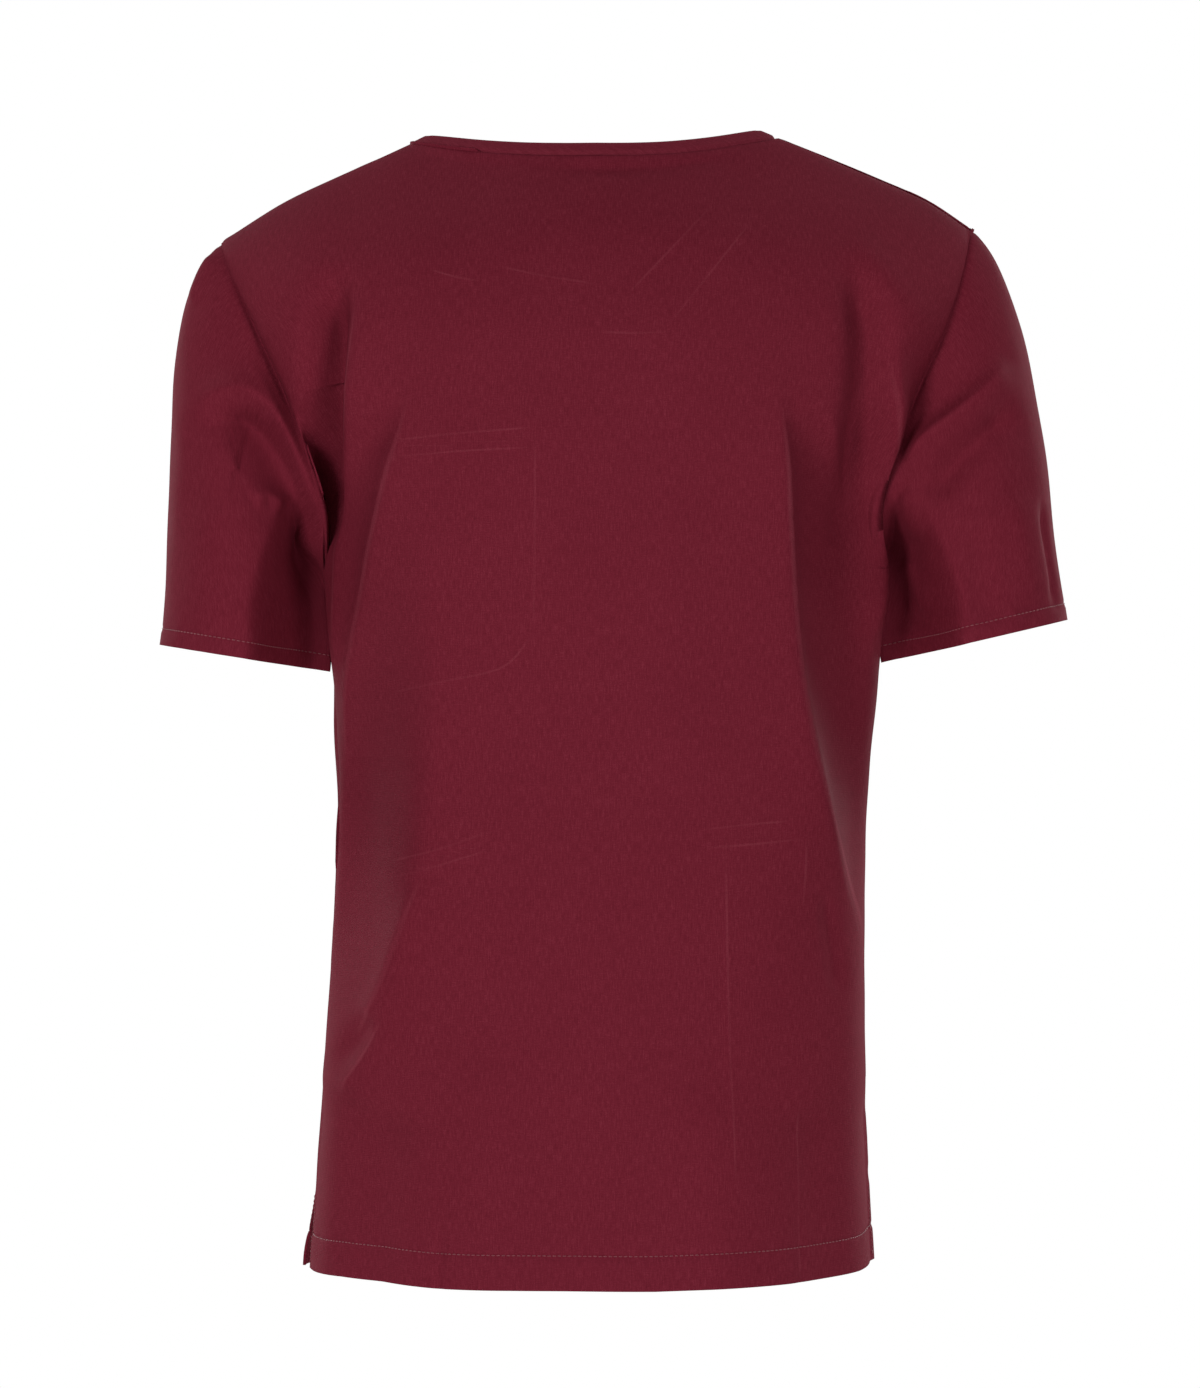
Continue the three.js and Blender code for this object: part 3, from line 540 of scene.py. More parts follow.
def wall_object(name, outer, inner, u, v, around=False):
    """A thin cloth wall as one closed mesh. The inner side keeps every second row and column of an odd-sized grid;
    the UV map holds millimetres along and across the cloth."""
    if around:
        turn = np.linalg.norm(outer[:, :1] - outer[:, -1:], axis=2)
        u, v = np.concatenate([u, u[:, -1:] + turn], axis=1), np.concatenate([v, v[:, :1]], axis=1)
    rows, columns = outer.shape[:2]
    thin = inner[::2, ::2]
    outside = np.arange(rows * columns).reshape(rows, columns)
    inside = rows * columns + np.arange(thin.shape[0] * thin.shape[1]).reshape(thin.shape[:2])
    if around:
        outside = np.concatenate([outside, outside[:, :1]], axis=1)
        inside = np.concatenate([inside, inside[:, :1]], axis=1)
    number = np.arange(u.size).reshape(u.shape)
    vertices = np.concatenate([outer.reshape(-1, 3), thin.reshape(-1, 3)])

    def quads(grid):
        return np.stack([grid[:-1, :-1], grid[:-1, 1:], grid[1:, 1:], grid[1:, :-1]], axis=-1).reshape(-1, 4)

    def rim(line, under):
        return np.stack([line[:-1:2], line[1::2], line[2::2], under[1:], under[:-1]], axis=-1)[:, ::-1]

    faces, corners = quads(outside).tolist(), quads(number).tolist()
    faces += quads(inside)[:, ::-1].tolist()
    corners += quads(number[::2, ::2])[:, ::-1].tolist()
    edges = [(0, slice(None), False), (-1, slice(None), True)]
    if not around:
        edges += [(slice(None), 0, True), (slice(None), -1, False)]
    for row, column, flip in edges:
        ring = rim(outside[row, column], inside[row, column])
        places = rim(number[row, column], number[::2, ::2][row, column])
        faces += (ring[:, ::-1] if flip else ring).tolist()
        corners += (places[:, ::-1] if flip else places).tolist()
    corner_list = np.concatenate([np.array(c) for c in corners])
    mesh = bpy.data.meshes.new(name)
    mesh.from_pydata((vertices * MM).tolist(), [], faces)
    layer = mesh.uv_layers.new(name="cloth_mm")
    coordinates = np.stack([u, v], axis=-1).reshape(-1, 2)
    layer.data.foreach_set("uv", coordinates[corner_list].ravel().astype(np.float32))
    mesh.polygons.foreach_set("use_smooth", np.ones(len(mesh.polygons), bool))
    mesh.update()
    normal = np.cross(outer[1:, :-1] - outer[:-1, :-1], outer[:-1, 1:] - outer[:-1, :-1])
    if (normal * (outer - inner)[:-1, :-1]).sum() > 0:
        mesh.flip_normals()
    return new_object(name, mesh)


def linear(hex_colour):
    """An sRGB hex colour as linear red, green, blue and alpha."""
    channels = [int(hex_colour[k:k + 2], 16) / 255 for k in (1, 3, 5)]
    return [c / 12.92 if c <= 0.04045 else ((c + 0.055) / 1.055) ** 2.4 for c in channels] + [1.0]


def add_node(tree, kind, settings=None, **links):
    """Adds a shader node; settings are its properties or inputs by name, links are inputs by name or number."""
    node = tree.nodes.new(kind)
    for key, value in (settings or {}).items():
        if isinstance(key, int) or key in node.inputs:
            node.inputs[key].default_value = value
        else:
            setattr(node, key, value)
    for key, socket in links.items():
        name = int(key[1:]) if key[0] == "_" and key[1:].isdigit() else key.replace("_", " ")
        tree.links.new(socket, node.inputs[name])
    return node


# Plain weave of polyester and viscose yarns, dyed in the piece: matt, with faint warp lines down it, a fainter weft,
# single paler yarns, and hardly any sheen. The yarns lie about 0.3 mm apart, too fine to show, so the lines are drawn
# 0.75 mm wide and the weave's pitch is 1.1 mm. Sizes are across and along a yarn, in mm; shares are parts of the tone.
YARN_WIDTH, WARP_LENGTH, WEFT_LENGTH = 0.75, 7.0, 3.5
WARP_SHARE, WEFT_SHARE = 0.62, 0.38
WEAVE_PITCH, WEAVE_SHARE = 1.1, 0.35
GRAIN_SIZE, GRAIN_SHARE = 0.55, 0.5
CLOUD_SIZE, CLOUD_SHARE = (60.0, 80.0), 0.08
TONE_STOPS = (0.54, 0.79, 1.04)
UNIT_WAVE = 0.3142
# The pale tone mixed in for the painted highlights along crests and pressed lines, and the tint of the shader's own
# sheen
PAINTED_HIGHLIGHT_TONE, SHEEN_TINT = "#a04a58", "#b4505f"


def new_material(name):
    material = bpy.data.materials.new(name)
    material.use_nodes = True
    material.node_tree.nodes.clear()
    return material, material.node_tree


def woven_cloth(name, dark, middle, light):
    """The plain weave in three tones, with painted highlights: lines that the mesh marks come out paler."""
    material, tree = new_material(name)
    uv = add_node(tree, "ShaderNodeUVMap", {"uv_map": "cloth_mm"})

    def stretched(width, length, **noise):
        place = add_node(tree, "ShaderNodeMapping", {"Scale": (1 / width, 1 / length, 1)}, Vector=uv.outputs["UV"])
        settings = {"Scale": 1.0, "Detail": 3.0, "Roughness": 0.6, **noise}
        return add_node(tree, "ShaderNodeTexNoise", settings, Vector=place.outputs["Vector"]).outputs["Fac"]

    warp = stretched(YARN_WIDTH, WARP_LENGTH)
    weft = stretched(WEFT_LENGTH, YARN_WIDTH)
    cloudy = stretched(*CLOUD_SIZE, Detail=2.0)
    grain = stretched(GRAIN_SIZE, GRAIN_SIZE, Detail=1.0)
    weft_part = add_node(tree, "ShaderNodeMath", {"operation": "MULTIPLY", 1: WEFT_SHARE}, _0=weft)
    yarn = add_node(tree, "ShaderNodeMath", {"operation": "MULTIPLY_ADD", 1: WARP_SHARE},
                    _0=warp, _2=weft_part.outputs[0])
    speckled = add_node(tree, "ShaderNodeMath", {"operation": "MULTIPLY_ADD", 1: GRAIN_SHARE},
                        _0=grain, _2=yarn.outputs[0])
    tone = add_node(tree, "ShaderNodeMath", {"operation": "MULTIPLY_ADD", 1: CLOUD_SHARE},
                    _0=cloudy, _2=speckled.outputs[0])
    ramp = add_node(tree, "ShaderNodeValToRGB", None, Fac=tone.outputs[0])
    stops = ramp.color_ramp.elements
    stops[0].position, stops[0].color = TONE_STOPS[0], linear(dark)
    stops[1].position, stops[1].color = TONE_STOPS[2], linear(light)
    stops.new(TONE_STOPS[1]).color = linear(middle)

    # The rise and fall of the yarns over each other
    cell = add_node(tree, "ShaderNodeMapping", {"Scale": (1 / WEAVE_PITCH,) * 2 + (1,)}, Vector=uv.outputs["UV"])
    over, under = (
        add_node(tree, "ShaderNodeTexWave", {"bands_direction": way, "Scale": UNIT_WAVE}, Vector=cell.outputs["Vector"])
        for way in "XY")
    weave = add_node(tree, "ShaderNodeMath", {"operation": "MULTIPLY"}, _0=over.outputs["Fac"], _1=under.outputs["Fac"])
    height = add_node(tree, "ShaderNodeMath", {"operation": "MULTIPLY_ADD", 1: WEAVE_SHARE},
                      _0=weave.outputs[0], _2=yarn.outputs[0])
    bump = add_node(tree, "ShaderNodeBump", {"Strength": 0.35, "Distance": 0.0005}, Height=height.outputs[0])
    rough = add_node(tree, "ShaderNodeMapRange", {"To Min": 0.74, "To Max": 0.9}, Value=warp)

    # Painted highlights: pale lines along the fold crests and the pressed-through seams, standing in for the light on
    # the crests and the seams' sheen, drawn thin from their signed distance and broken up by the grain
    offset = add_node(tree, "ShaderNodeAttribute", {"attribute_name": "line_offset"})
    strength = add_node(tree, "ShaderNodeAttribute", {"attribute_name": "line_strength"})
    gap = add_node(tree, "ShaderNodeMath", {"operation": "ABSOLUTE"}, _0=offset.outputs["Fac"])
    near = add_node(tree, "ShaderNodeMapRange",
                    {"interpolation_type": "SMOOTHSTEP", "From Min": 1.3, "From Max": 0.2}, Value=gap.outputs[0])
    line = add_node(tree, "ShaderNodeMath", {"operation": "MULTIPLY"}, _0=near.outputs[0], _1=strength.outputs["Fac"])
    highlight_breakup = add_node(tree, "ShaderNodeMapRange", {"From Min": 0.35, "From Max": 0.62, "To Min": 0.3}, Value=grain)
    highlight_amount = add_node(tree, "ShaderNodeMath", {"operation": "MULTIPLY"}, _0=line.outputs[0], _1=highlight_breakup.outputs[0])
    colour = add_node(tree, "ShaderNodeMix", {"data_type": "RGBA"}, _0=highlight_amount.outputs[0], _6=ramp.outputs["Color"])
    colour.inputs[7].default_value = linear(PAINTED_HIGHLIGHT_TONE)
    shader = add_node(
        tree, "ShaderNodeBsdfPrincipled",
        {"Specular IOR Level": 0.04, "Sheen Weight": 0.03, "Sheen Roughness": 0.5, "Sheen Tint": linear(SHEEN_TINT)},
        Base_Color=colour.outputs[2], Roughness=rough.outputs[0], Normal=bump.outputs["Normal"],
    )
    add_node(tree, "ShaderNodeOutputMaterial", None, Surface=shader.outputs[0])
    return material


CLOTH_MATERIAL = woven_cloth("polyester_viscose_plain_weave", "#641a28", "#722030", "#822d3d")


def finish_cloth(piece, node, material=CLOTH_MATERIAL):
    """Dresses a piece of hung cloth."""
    piece.data.materials.append(material)
    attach(piece, "root")
    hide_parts(node)


panels = {}
for face, folds, pressed, seed in (("back", BACK_FOLDS, BACK_PRESSED, 11), ("front", FRONT_FOLDS, [], 23)):
    panel = panels[face] = make_panel(face, folds, pressed, seed)
    piece = wall_object(f"{face}_panel", panel["outer"], panel["inner"], panel["across"], panel["up"])
    # The back carries its painted highlight lines as two point attributes
    if panel["painted_highlights"]:
        for name, painted_highlights in zip(("line_offset", "line_strength"), panel["painted_highlights"]):
            layer = piece.data.attributes.new(name, "FLOAT", "POINT")
            values = np.zeros(len(piece.data.vertices), np.float32)
            values[:painted_highlights.size] = painted_highlights.ravel()
            layer.data.foreach_set("value", values)
    finish_cloth(piece, face)

# Sleeves. Each is one short tube of the same cloth, set into the armhole with its own underarm seam and a narrow
# turned hem. The cap leans out from the shoulder and the tube hangs clear of the body. Ends are (x, z) at the hem.
SLEEVES = {
    "left": {"sign": 1, "outer": (273.0, -320.0), "inner": (166.0, -337.0), "seed": 31},
    "right": {"sign": -1, "outer": (-300.0, -304.0), "inner": (-183.0, -331.0), "seed": 47},
}
SLEEVE_HALF_DEPTH = 69.0
SLEEVE_HEM = {"depth": 12.0, "step": 0.4, "ease": 2.0, "dip": 0.6, "dip_width": 1.4, "gather": 8.0}
SLEEVE_WAVES, SLEEVE_RIPPLES, CAP_GATHER = (90, 0.9), (40, 0.25), 0.6
# The way that the cloth leaves the armhole, how strongly it goes on so from there and into the hem, and how much
# less it leans out at the underarm
CAP_OUT, CAP_ALONG, CAP_DOWN = 0.75, 0.35, 0.65
CAP_PULL, HEM_PULL = 0.7, 0.8
UNDERARM_LEAN, UNDERARM_SPREAD = 0.1, 0.3
# The sleeve starts this far off the armhole; its allowance is this deep, and runs out at the ends over a share
ARMHOLE_GAP = SEAM_GAP * 1.6
ALLOWANCE, ALLOWANCE_FADE = 4.0, 0.07
# Places round the sleeve, from the shoulder tip down behind and up in front, then steps down it and over its hem
SLEEVE_HALF_RING = 96
ring_shares = np.linspace(0, 1, SLEEVE_HALF_RING + 1)
RING_ANGLES = np.concatenate([ring_shares, 1 + ring_shares[1:-1]]) * math.pi
SLEEVE_STEPS = np.concatenate([
    np.array([0, 0.0016, 0.004, 0.008, 0.014, 0.022, 0.034, 0.05]), np.linspace(0.065, 0.985, 96), [0.993, 1.0]])
SLEEVE_HEM_STEPS = np.array([0.06, 0.13, 0.22, 0.4, 0.6, 0.8, 0.92, 0.97, 1.0])
SLEEVE_FOLDS = {
    ("left", "back"): [
        (9.0, 5, 13, 1.4, [(256, -182), (240, -168), (226, -163), (212, -164), (194, -184), (181, -212), (171, -244),
                           (166, -268)]),
        (-18.0, 26, 6, 1.7, [(246, -190), (230, -181), (211, -181), (192, -201), (178, -229), (171, -258),
                             (172, -300)]),
        (5.5, 7, 7, 1.6, [(212, -232), (200, -226), (186, -236)]),
        (4.0, 7, 7, 1.6, [(236, -70), (246, -86), (254, -108)]),
        (3.0, 14, 14, 2.0, [(236, -225), (240, -270), (242, -318)]),
    ],
    ("right", "back"): [
        (11.0, 13, 6, 1.4, [(-190, -214), (-206, -193), (-228, -175), (-246, -157), (-258, -138)]),
        (-8.0, 10, 10, 2.0, [(-204, -232), (-222, -210), (-246, -188), (-268, -172)]),
        (4.5, 5, 6, 1.5, [(-192, -220), (-197, -238), (-203, -258)]),
        (4.0, 5, 6, 1.5, [(-192, -264), (-200, -282), (-208, -302)]),
        (-7.0, 9, 9, 2.0, [(-196, -240), (-198, -280), (-200, -318)]),
        (3.5, 9, 12, 1.8, [(-262, -222), (-268, -256), (-275, -298)]),
        (-3.5, 12, 12, 2.0, [(-236, -240), (-240, -275), (-244, -312)]),
        (-4.0, 3, 3, 1.8, [(-280, -226), (-285, -262), (-291, -302)]),
    ],
    ("left", "front"): [
        (8.0, 14, 12, 1.6, [(198, -225), (216, -196), (238, -176), (258, -158)]),
        (4.0, 7, 7, 1.6, [(190, -250), (204, -258), (216, -280)]),
        (-5.0, 9, 9, 2.0, [(188, -270), (186, -300), (184, -325)]),
        (3.0, 12, 12, 2.0, [(240, -230), (246, -270), (250, -316)]),
    ],
    ("right", "front"): [
        (8.0, 12, 14, 1.6, [(-202, -230), (-220, -200), (-240, -180), (-262, -164)]),
        (4.0, 7, 7, 1.6, [(-196, -262), (-208, -276), (-216, -300)]),
        (-5.0, 9, 9, 2.0, [(-204, -280), (-203, -300), (-202, -320)]),
        (3.0, 12, 12, 2.0, [(-250, -236), (-258, -270), (-266, -300)]),
    ],
}
# Beside the body each sleeve is pressed flatter: where across this begins at the underarm and at the hem, where it
# is full, and its share of the depth; then the levels over which it sets in and moves out, each with a length
INNER_HOLLOW = {"left": (188.0, 216.0, 176.0, 0.94), "right": (-203.0, -232.0, -192.0, 0.94)}
HOLLOW_TOP, HOLLOW_SHIFT = (-200.0, 60.0), (-205.0, 95.0)


def armhole_ring(sign):
    """Points and outward normals round an armhole, from the shoulder tip down behind and up in front."""
    column = -1 if sign > 0 else 0
    halves = []
    for panel, order in ((panels["back"], slice(None, None, -1)), (panels["front"], slice(None))):
        edge = panel["outer"][panel["underarm_row"]:, column].copy()
        edge[0, 1] = edge[-1, 1] = 0
        facing = panel["normals"][panel["underarm_row"]:, column]
        length = run_along(edge[order])
        halves.append([
            np.stack([np.interp(ring_shares * length[-1], length, line[order][:, k]) for k in range(3)], axis=1)
            for line in (edge, facing)])
    return (np.concatenate([halves[0][k], halves[1][k][1:-1]]) for k in range(2))


def sleeve_form(start, sign, outer_end, inner_end):
    """The plain tube as rings of points from the armhole to the hem."""
    outer_end, inner_end = np.array(outer_end), np.array(inner_end)
    middle, reach = (outer_end + inner_end) / 2, (outer_end - inner_end) / 2
    end = np.stack([
        middle[0] + reach[0] * np.cos(RING_ANGLES),
        SLEEVE_HALF_DEPTH * np.sin(RING_ANGLES),
        middle[1] + reach[1] * np.cos(RING_ANGLES),
    ], axis=1)
    length = np.linalg.norm(end - start, axis=1, keepdims=True)
    from_underarm = np.abs(1 - RING_ANGLES / math.pi)
    lean = CAP_OUT * (UNDERARM_LEAN + (1 - UNDERARM_LEAN) * smooth(from_underarm / UNDERARM_SPREAD))
    leaving = np.stack([lean * sign, CAP_ALONG * np.sin(RING_ANGLES), np.full(lean.shape, -CAP_DOWN)], axis=1)
    leaving *= CAP_PULL * length / np.linalg.norm(leaving, axis=1, keepdims=True)
    down = np.array([reach[1] * sign, 0, -reach[0] * sign])
    arriving = down / np.linalg.norm(down) * HEM_PULL * length
    hem_share = 1 - SLEEVE_HEM["depth"] / (HEM_PULL * length)
    rows = [hermite(start, leaving, end, arriving, step * hem_share) for step in SLEEVE_STEPS]
    rows += [hermite(start, leaving, end, arriving, hem_share + (1 - hem_share) * step) for step in SLEEVE_HEM_STEPS]
    return np.array(rows)


def press_inner_side(outer, form, from_seam, foot, shallow, deep, share):
    """Flattens the side of a sleeve that lies against the body, in place."""
    (top, top_run), (shift, shift_run) = HOLLOW_TOP, HOLLOW_SHIFT
    start = foot + (shallow - foot) * smooth((shift - form[..., 2]) / shift_run)
    hollow = smooth((form[..., 0] - start) / (deep - shallow)) * smooth((top - form[..., 2]) / top_run)
    outer[..., 1] *= 1 - share * hollow * smooth(from_seam / 20)


def seam_allowance(armhole, outside, away):
    """Two rows of points for the allowance, which turns down at the armhole and lies under the panels' edges."""
    turn = np.cross(np.roll(armhole, -1, axis=0) - np.roll(armhole, 1, axis=0), outside)
    turn *= -np.sign((turn * away).sum(axis=1, keepdims=True)) / np.linalg.norm(turn, axis=1, keepdims=True)
    under = armhole - outside * (CLOTH + SEAM_GAP)
    tip = np.minimum(RING_ANGLES, 2 * math.pi - RING_ANGLES)[:, None] / math.pi / ALLOWANCE_FADE
    lips = np.stack([under + turn * ALLOWANCE * smooth(tip), under + away * ARMHOLE_GAP * smooth(tip)])
    lips[..., 2] -= CLOTH * (1 - smooth(tip[:, 0]))
    return lips


def make_sleeve(hand, sign, outer, inner, seed):
    """The outer and inner side of one sleeve, with its allowance as the first two rows."""
    armhole, outside = armhole_ring(sign)
    away = np.array([sign, 0, -0.35])
    away /= np.linalg.norm(away)
    form = sleeve_form(armhole + away * ARMHOLE_GAP, sign, outer, inner)
    base = grid_normals(form, -sign, around=True)
    from_seam, girth = lengths(form, 0), lengths(form, 1)
    from_hem = from_seam[-1:] - from_seam

    relief = np.zeros(form.shape[:2])
    faces_out = smooth(np.abs(base[..., 1]) * 2.2 - 0.3) * smooth(from_seam / 13)
    for face, on_face in (("back", form[..., 1] > 0), ("front", form[..., 1] <= 0)):
        relief += np.where(on_face, faces_out * fold_relief(form, SLEEVE_FOLDS[hand, face]), 0)
    relief += smooth(from_seam / 20) * (
        waviness(form, seed, *SLEEVE_WAVES) + waviness(form, seed + 1, *SLEEVE_RIPPLES))
    relief -= SEAM_DIP * np.exp(-((from_seam / SEAM_DIP_WIDTH) ** 2))
    cap_gathers = pucker(girth[:1] + 0 * girth, from_seam, seed + 2, height=CAP_GATHER)
    relief += cap_gathers * smooth(from_seam / GATHER_FADE)
    relief += turned_hem(girth, from_hem, SLEEVE_HEM, seed + 3)
    outer = form + base * relief[..., None]
    press_inner_side(outer, form, from_seam, *INNER_HOLLOW[hand])
    normals = grid_normals(outer, -sign, around=True)
    inner = outer - normals * wall_thickness(from_hem, SLEEVE_HEM)[..., None]

    lips = seam_allowance(armhole, outside, away)
    outer = np.concatenate([lips, outer])
    inner = np.concatenate([lips - outside * CLOTH, inner])
    inner[2] = inner[1] + away * CLOTH
    return {
        "outer": outer, "inner": inner, "normals": np.concatenate([outside[None], outside[None], normals]),
        "around": np.concatenate([girth[:1], girth[:1], girth]),
        "up": -np.concatenate([from_seam[:1] - ALLOWANCE - CLOTH, from_seam[:1] - CLOTH, from_seam]),
    }


sleeves = {}
for hand, shape in SLEEVES.items():
    sleeve = sleeves[hand] = make_sleeve(hand, **shape)
    piece = wall_object(
        f"sleeve_{hand}_tube", sleeve["outer"], sleeve["inner"], sleeve["around"], sleeve["up"], around=True)
    finish_cloth(piece, f"sleeve_{hand}")

# Neck band. A strip of the same cloth folded double, seamed at the shoulders and mitred at the foot of the V.
# Its fold is the free edge, which rolls a little towards the neck. Steps are shares of its width from the seam.
BAND_CLOTH = 1.7
BAND_STEPS = np.array([0.006, 0.05, 0.12, 0.22, 0.32, 0.44, 0.56, 0.68, 0.79, 0.88, 0.94, 0.98, 1.0])
BAND_RISE, BAND_RISE_WIDTH = 0.55, 2.5
BAND_DIP, BAND_DIP_WIDTH = 1.3, 1.5
BAND_ROLL, BAND_ROLL_WIDTH = 1.1, 3.0
BANDS = {"neck_band_back": ("back", -1, 1), "neck_band_left": ("front", 0, 1), "neck_band_right": ("front", -1, 0)}

# The strip's yarns lie another way than the panels', which changes its sheen; that is painted into its colour as a
# touch lighter tone, painted sheen
band_material = woven_cloth("polyester_viscose_neck_band", "#661e2b", "#742433", "#853141")
for name, (face, first, last) in BANDS.items():
    places = PLACES / NECK_SHARE
    place = places[(places >= first - 1e-9) & (places <= last + 1e-9)]
    seam_x, seam_z = neck_point(NECK_SEAM, face, place)
    edge_x, edge_z = neck_point(NECK_EDGE, face, place)
    rows = []
    for step in BAND_STEPS:
        x, z = seam_x + (edge_x - seam_x) * step, seam_z + (edge_z - seam_z) * step
        rows.append(np.stack([x, form_depth(face, np.abs(x) / half_width(x, z), x, z), z], axis=1))
    form = np.array(rows)
    if first * last == 0:
        form[:, place == 0, 0] = (first + last) * CLOSED_SEAM / 2
    outward = -1 if face == "back" else 1
    along_band, wide = lengths(form, 1), lengths(form, 0)
    relief = BAND_RISE * smooth(wide / BAND_RISE_WIDTH) - BAND_DIP * np.exp(-((wide / BAND_DIP_WIDTH) ** 2))
    relief -= BAND_ROLL * smooth((wide - wide[-1:] + BAND_ROLL_WIDTH) / BAND_ROLL_WIDTH)
    relief += pucker(along_band, wide, 61 + len(name), pitch=10, reach=8, height=0.25)
    outer = form + grid_normals(form, outward) * relief[..., None]
    normals = grid_normals(outer, outward)
    for column, end in ((0, first), (-1, last)):
        normals[:, column, 1 if abs(end) == 1 else 0] = 0
    normals /= np.linalg.norm(normals, axis=2, keepdims=True)
    piece = wall_object(name + "_strip", outer, outer - normals * BAND_CLOTH, along_band, wide)
    finish_cloth(piece, name, material=band_material)

# Patch pockets. One layer of the same cloth with a turned top hem, laid on the front and stitched down its sides
# and foot. Measures run along the front's cloth from its centre line; clip is the cut corner at the foot.
LOWER_POCKET = {"inner": 47.0, "width": 155.0, "top": -440.0, "bottom": -671.0, "clip": 16.0, "hem": 25.0}
POCKETS = {
    "chest_pocket": {
        "sign": 1, "inner": 58.0, "width": 112.0, "top": -190.0, "bottom": -338.0, "clip": 20.0, "hem": 22.0},
    "pocket_left": {"sign": 1, **LOWER_POCKET},
    "pocket_right": {"sign": -1, **LOWER_POCKET},
}
POCKET_CLOTH = 1.0
# How far a pocket stands off the front: at its edges, in its belly, at its mouth, and at the doubled hem
POCKET_LIFT, POCKET_BELLY, POCKET_MOUTH, POCKET_HEM_STEP = 1.0, 2.4, 2.2, 0.35
POCKET_STITCH_DIP, POCKET_WAVES, EDGE_RIPPLE = 0.45, (70, 0.8), 0.25
POCKET_GRID = (3.4, 3.8)


def on_front(distance, level, sign):
    """Points and normals of the front at a distance along the cloth from its centre line and a level."""
    panel = panels["front"]
    outer, normals, across = panel["outer"], panel["normals"], panel["across"]
    row_levels = outer[:, MIDDLE + sign * 30, 2]
    row = np.interp(level, row_levels, np.arange(len(row_levels)))
    low = np.clip(np.floor(row).astype(int), 0, len(row_levels) - 2)
    part = (row - low)[..., None]
    point, normal = np.zeros(distance.shape + (3,)), np.zeros(distance.shape + (3,))
    for k in np.ndindex(distance.shape):
        a = low[k]
        here = across[a] * (1 - part[k]) + across[a + 1] * part[k]
        for source, target in ((outer, point), (normals, normal)):
            line = source[a] * (1 - part[k]) + source[a + 1] * part[k]
            target[k] = [np.interp(sign * distance[k], here, line[:, axis]) for axis in range(3)]
    return point, normal / np.linalg.norm(normal, axis=-1, keepdims=True)


def edge_crowded(step, length, crowd=(0.0, 0.5, 1.2, 2.2, 3.6)):
    """Shares of a length, even in the middle and crowded at both ends."""
    ends = np.array(crowd) / length
    middle = np.linspace(ends[-1], 1 - ends[-1], 2 * int(length / step / 2) + 1)
    return np.concatenate([ends, middle[1:-1], 1 - ends[::-1]])


pockets = {}
for name, shape in POCKETS.items():
    width, tall, hem = shape["width"], shape["top"] - shape["bottom"], shape["hem"]
    side, rise = np.meshgrid(edge_crowded(POCKET_GRID[0], width), edge_crowded(POCKET_GRID[1], tall))
    from_edge, from_top = np.minimum(side, 1 - side) * width, (1 - rise) * tall
    foot = shape["bottom"] + np.maximum(shape["clip"] - from_edge, 0) * 0.9
    point, normal = on_front(shape["inner"] + side * width, foot + (shape["top"] - foot) * rise, shape["sign"])
    belly = smooth(from_edge / 45) * smooth(rise * tall / 60)
    mouth = smooth(from_edge / 30) * np.exp(-((from_top / 40) ** 2))
    lift = POCKET_LIFT + POCKET_BELLY * belly + POCKET_MOUTH * mouth + POCKET_HEM_STEP * smooth((hem - from_top) / 2)
    lift -= POCKET_STITCH_DIP * np.exp(-((np.abs(from_top - hem + 2) / 1.4) ** 2)) * smooth(from_edge / 4)
    waves = waviness(point, 71 + len(name), *POCKET_WAVES) + POCKET_WAVES[1]
    lift += smooth(from_edge / 12) * smooth(rise * 8) * waves
    ripple = EDGE_RIPPLE * np.sin(side * 57 + rise * 21)
    lift += ripple * np.exp(-((from_edge / 5) ** 2)) * smooth(from_edge / 2)
    near = point + normal * lift[..., None]
    far = near + normal * POCKET_CLOTH
    pockets[name] = {"far": far, "normal": normal}
    piece = wall_object(name + "_patch", far, near, side * width * shape["sign"], rise * tall)
    finish_cloth(piece, name)

# Topstitching. Lockstitch in a polyester thread a shade lighter and warmer than the cloth, about 3 mm to a stitch,
# along the hems, the vents and the pockets. The neck band's seam shows none.
STITCH_PITCH, STITCH_LENGTH, STITCH_RADIUS = 3.1, 2.3, 0.33
STITCH_SIDES, STITCH_LIFT = 6, 0.12
# Rings of one stitch: share of its length, size and how far it stands up from the cloth, as it dives in at both ends
STITCH_RINGS = ((0.0, 0.35, -0.2), (0.2, 0.9, 0.0), (0.5, 1.0, 0.06), (0.8, 0.9, 0.0), (1.0, 0.35, -0.2))
VENT_STITCH_INSET, POCKET_STITCH_COLUMN = 6.0, 3


def spun_thread(name, dark, light):
    """Twisted polyester sewing thread: slightly shiny, its ply showing as small changes of tone."""
    material, tree = new_material(name)
    place = add_node(tree, "ShaderNodeTexCoord")
    ply = add_node(tree, "ShaderNodeTexNoise", {"Scale": 2600.0, "Detail": 2.0}, Vector=place.outputs["Object"])
    ramp = add_node(tree, "ShaderNodeValToRGB", None, Fac=ply.outputs["Fac"])
    for stop, colour in zip(ramp.color_ramp.elements, (dark, light)):
        stop.color = linear(colour)
    bump = add_node(tree, "ShaderNodeBump", {"Strength": 0.4, "Distance": 0.0002}, Height=ply.outputs["Fac"])
    shader = add_node(tree, "ShaderNodeBsdfPrincipled", {"Roughness": 0.5, "Sheen Weight": 0.2},
                      Base_Color=ramp.outputs["Color"], Normal=bump.outputs["Normal"])
    add_node(tree, "ShaderNodeOutputMaterial", None, Surface=shader.outputs[0])
    return material


THREAD_MATERIAL = spun_thread("polyester_topstitch_thread", "#762834", "#96444f")


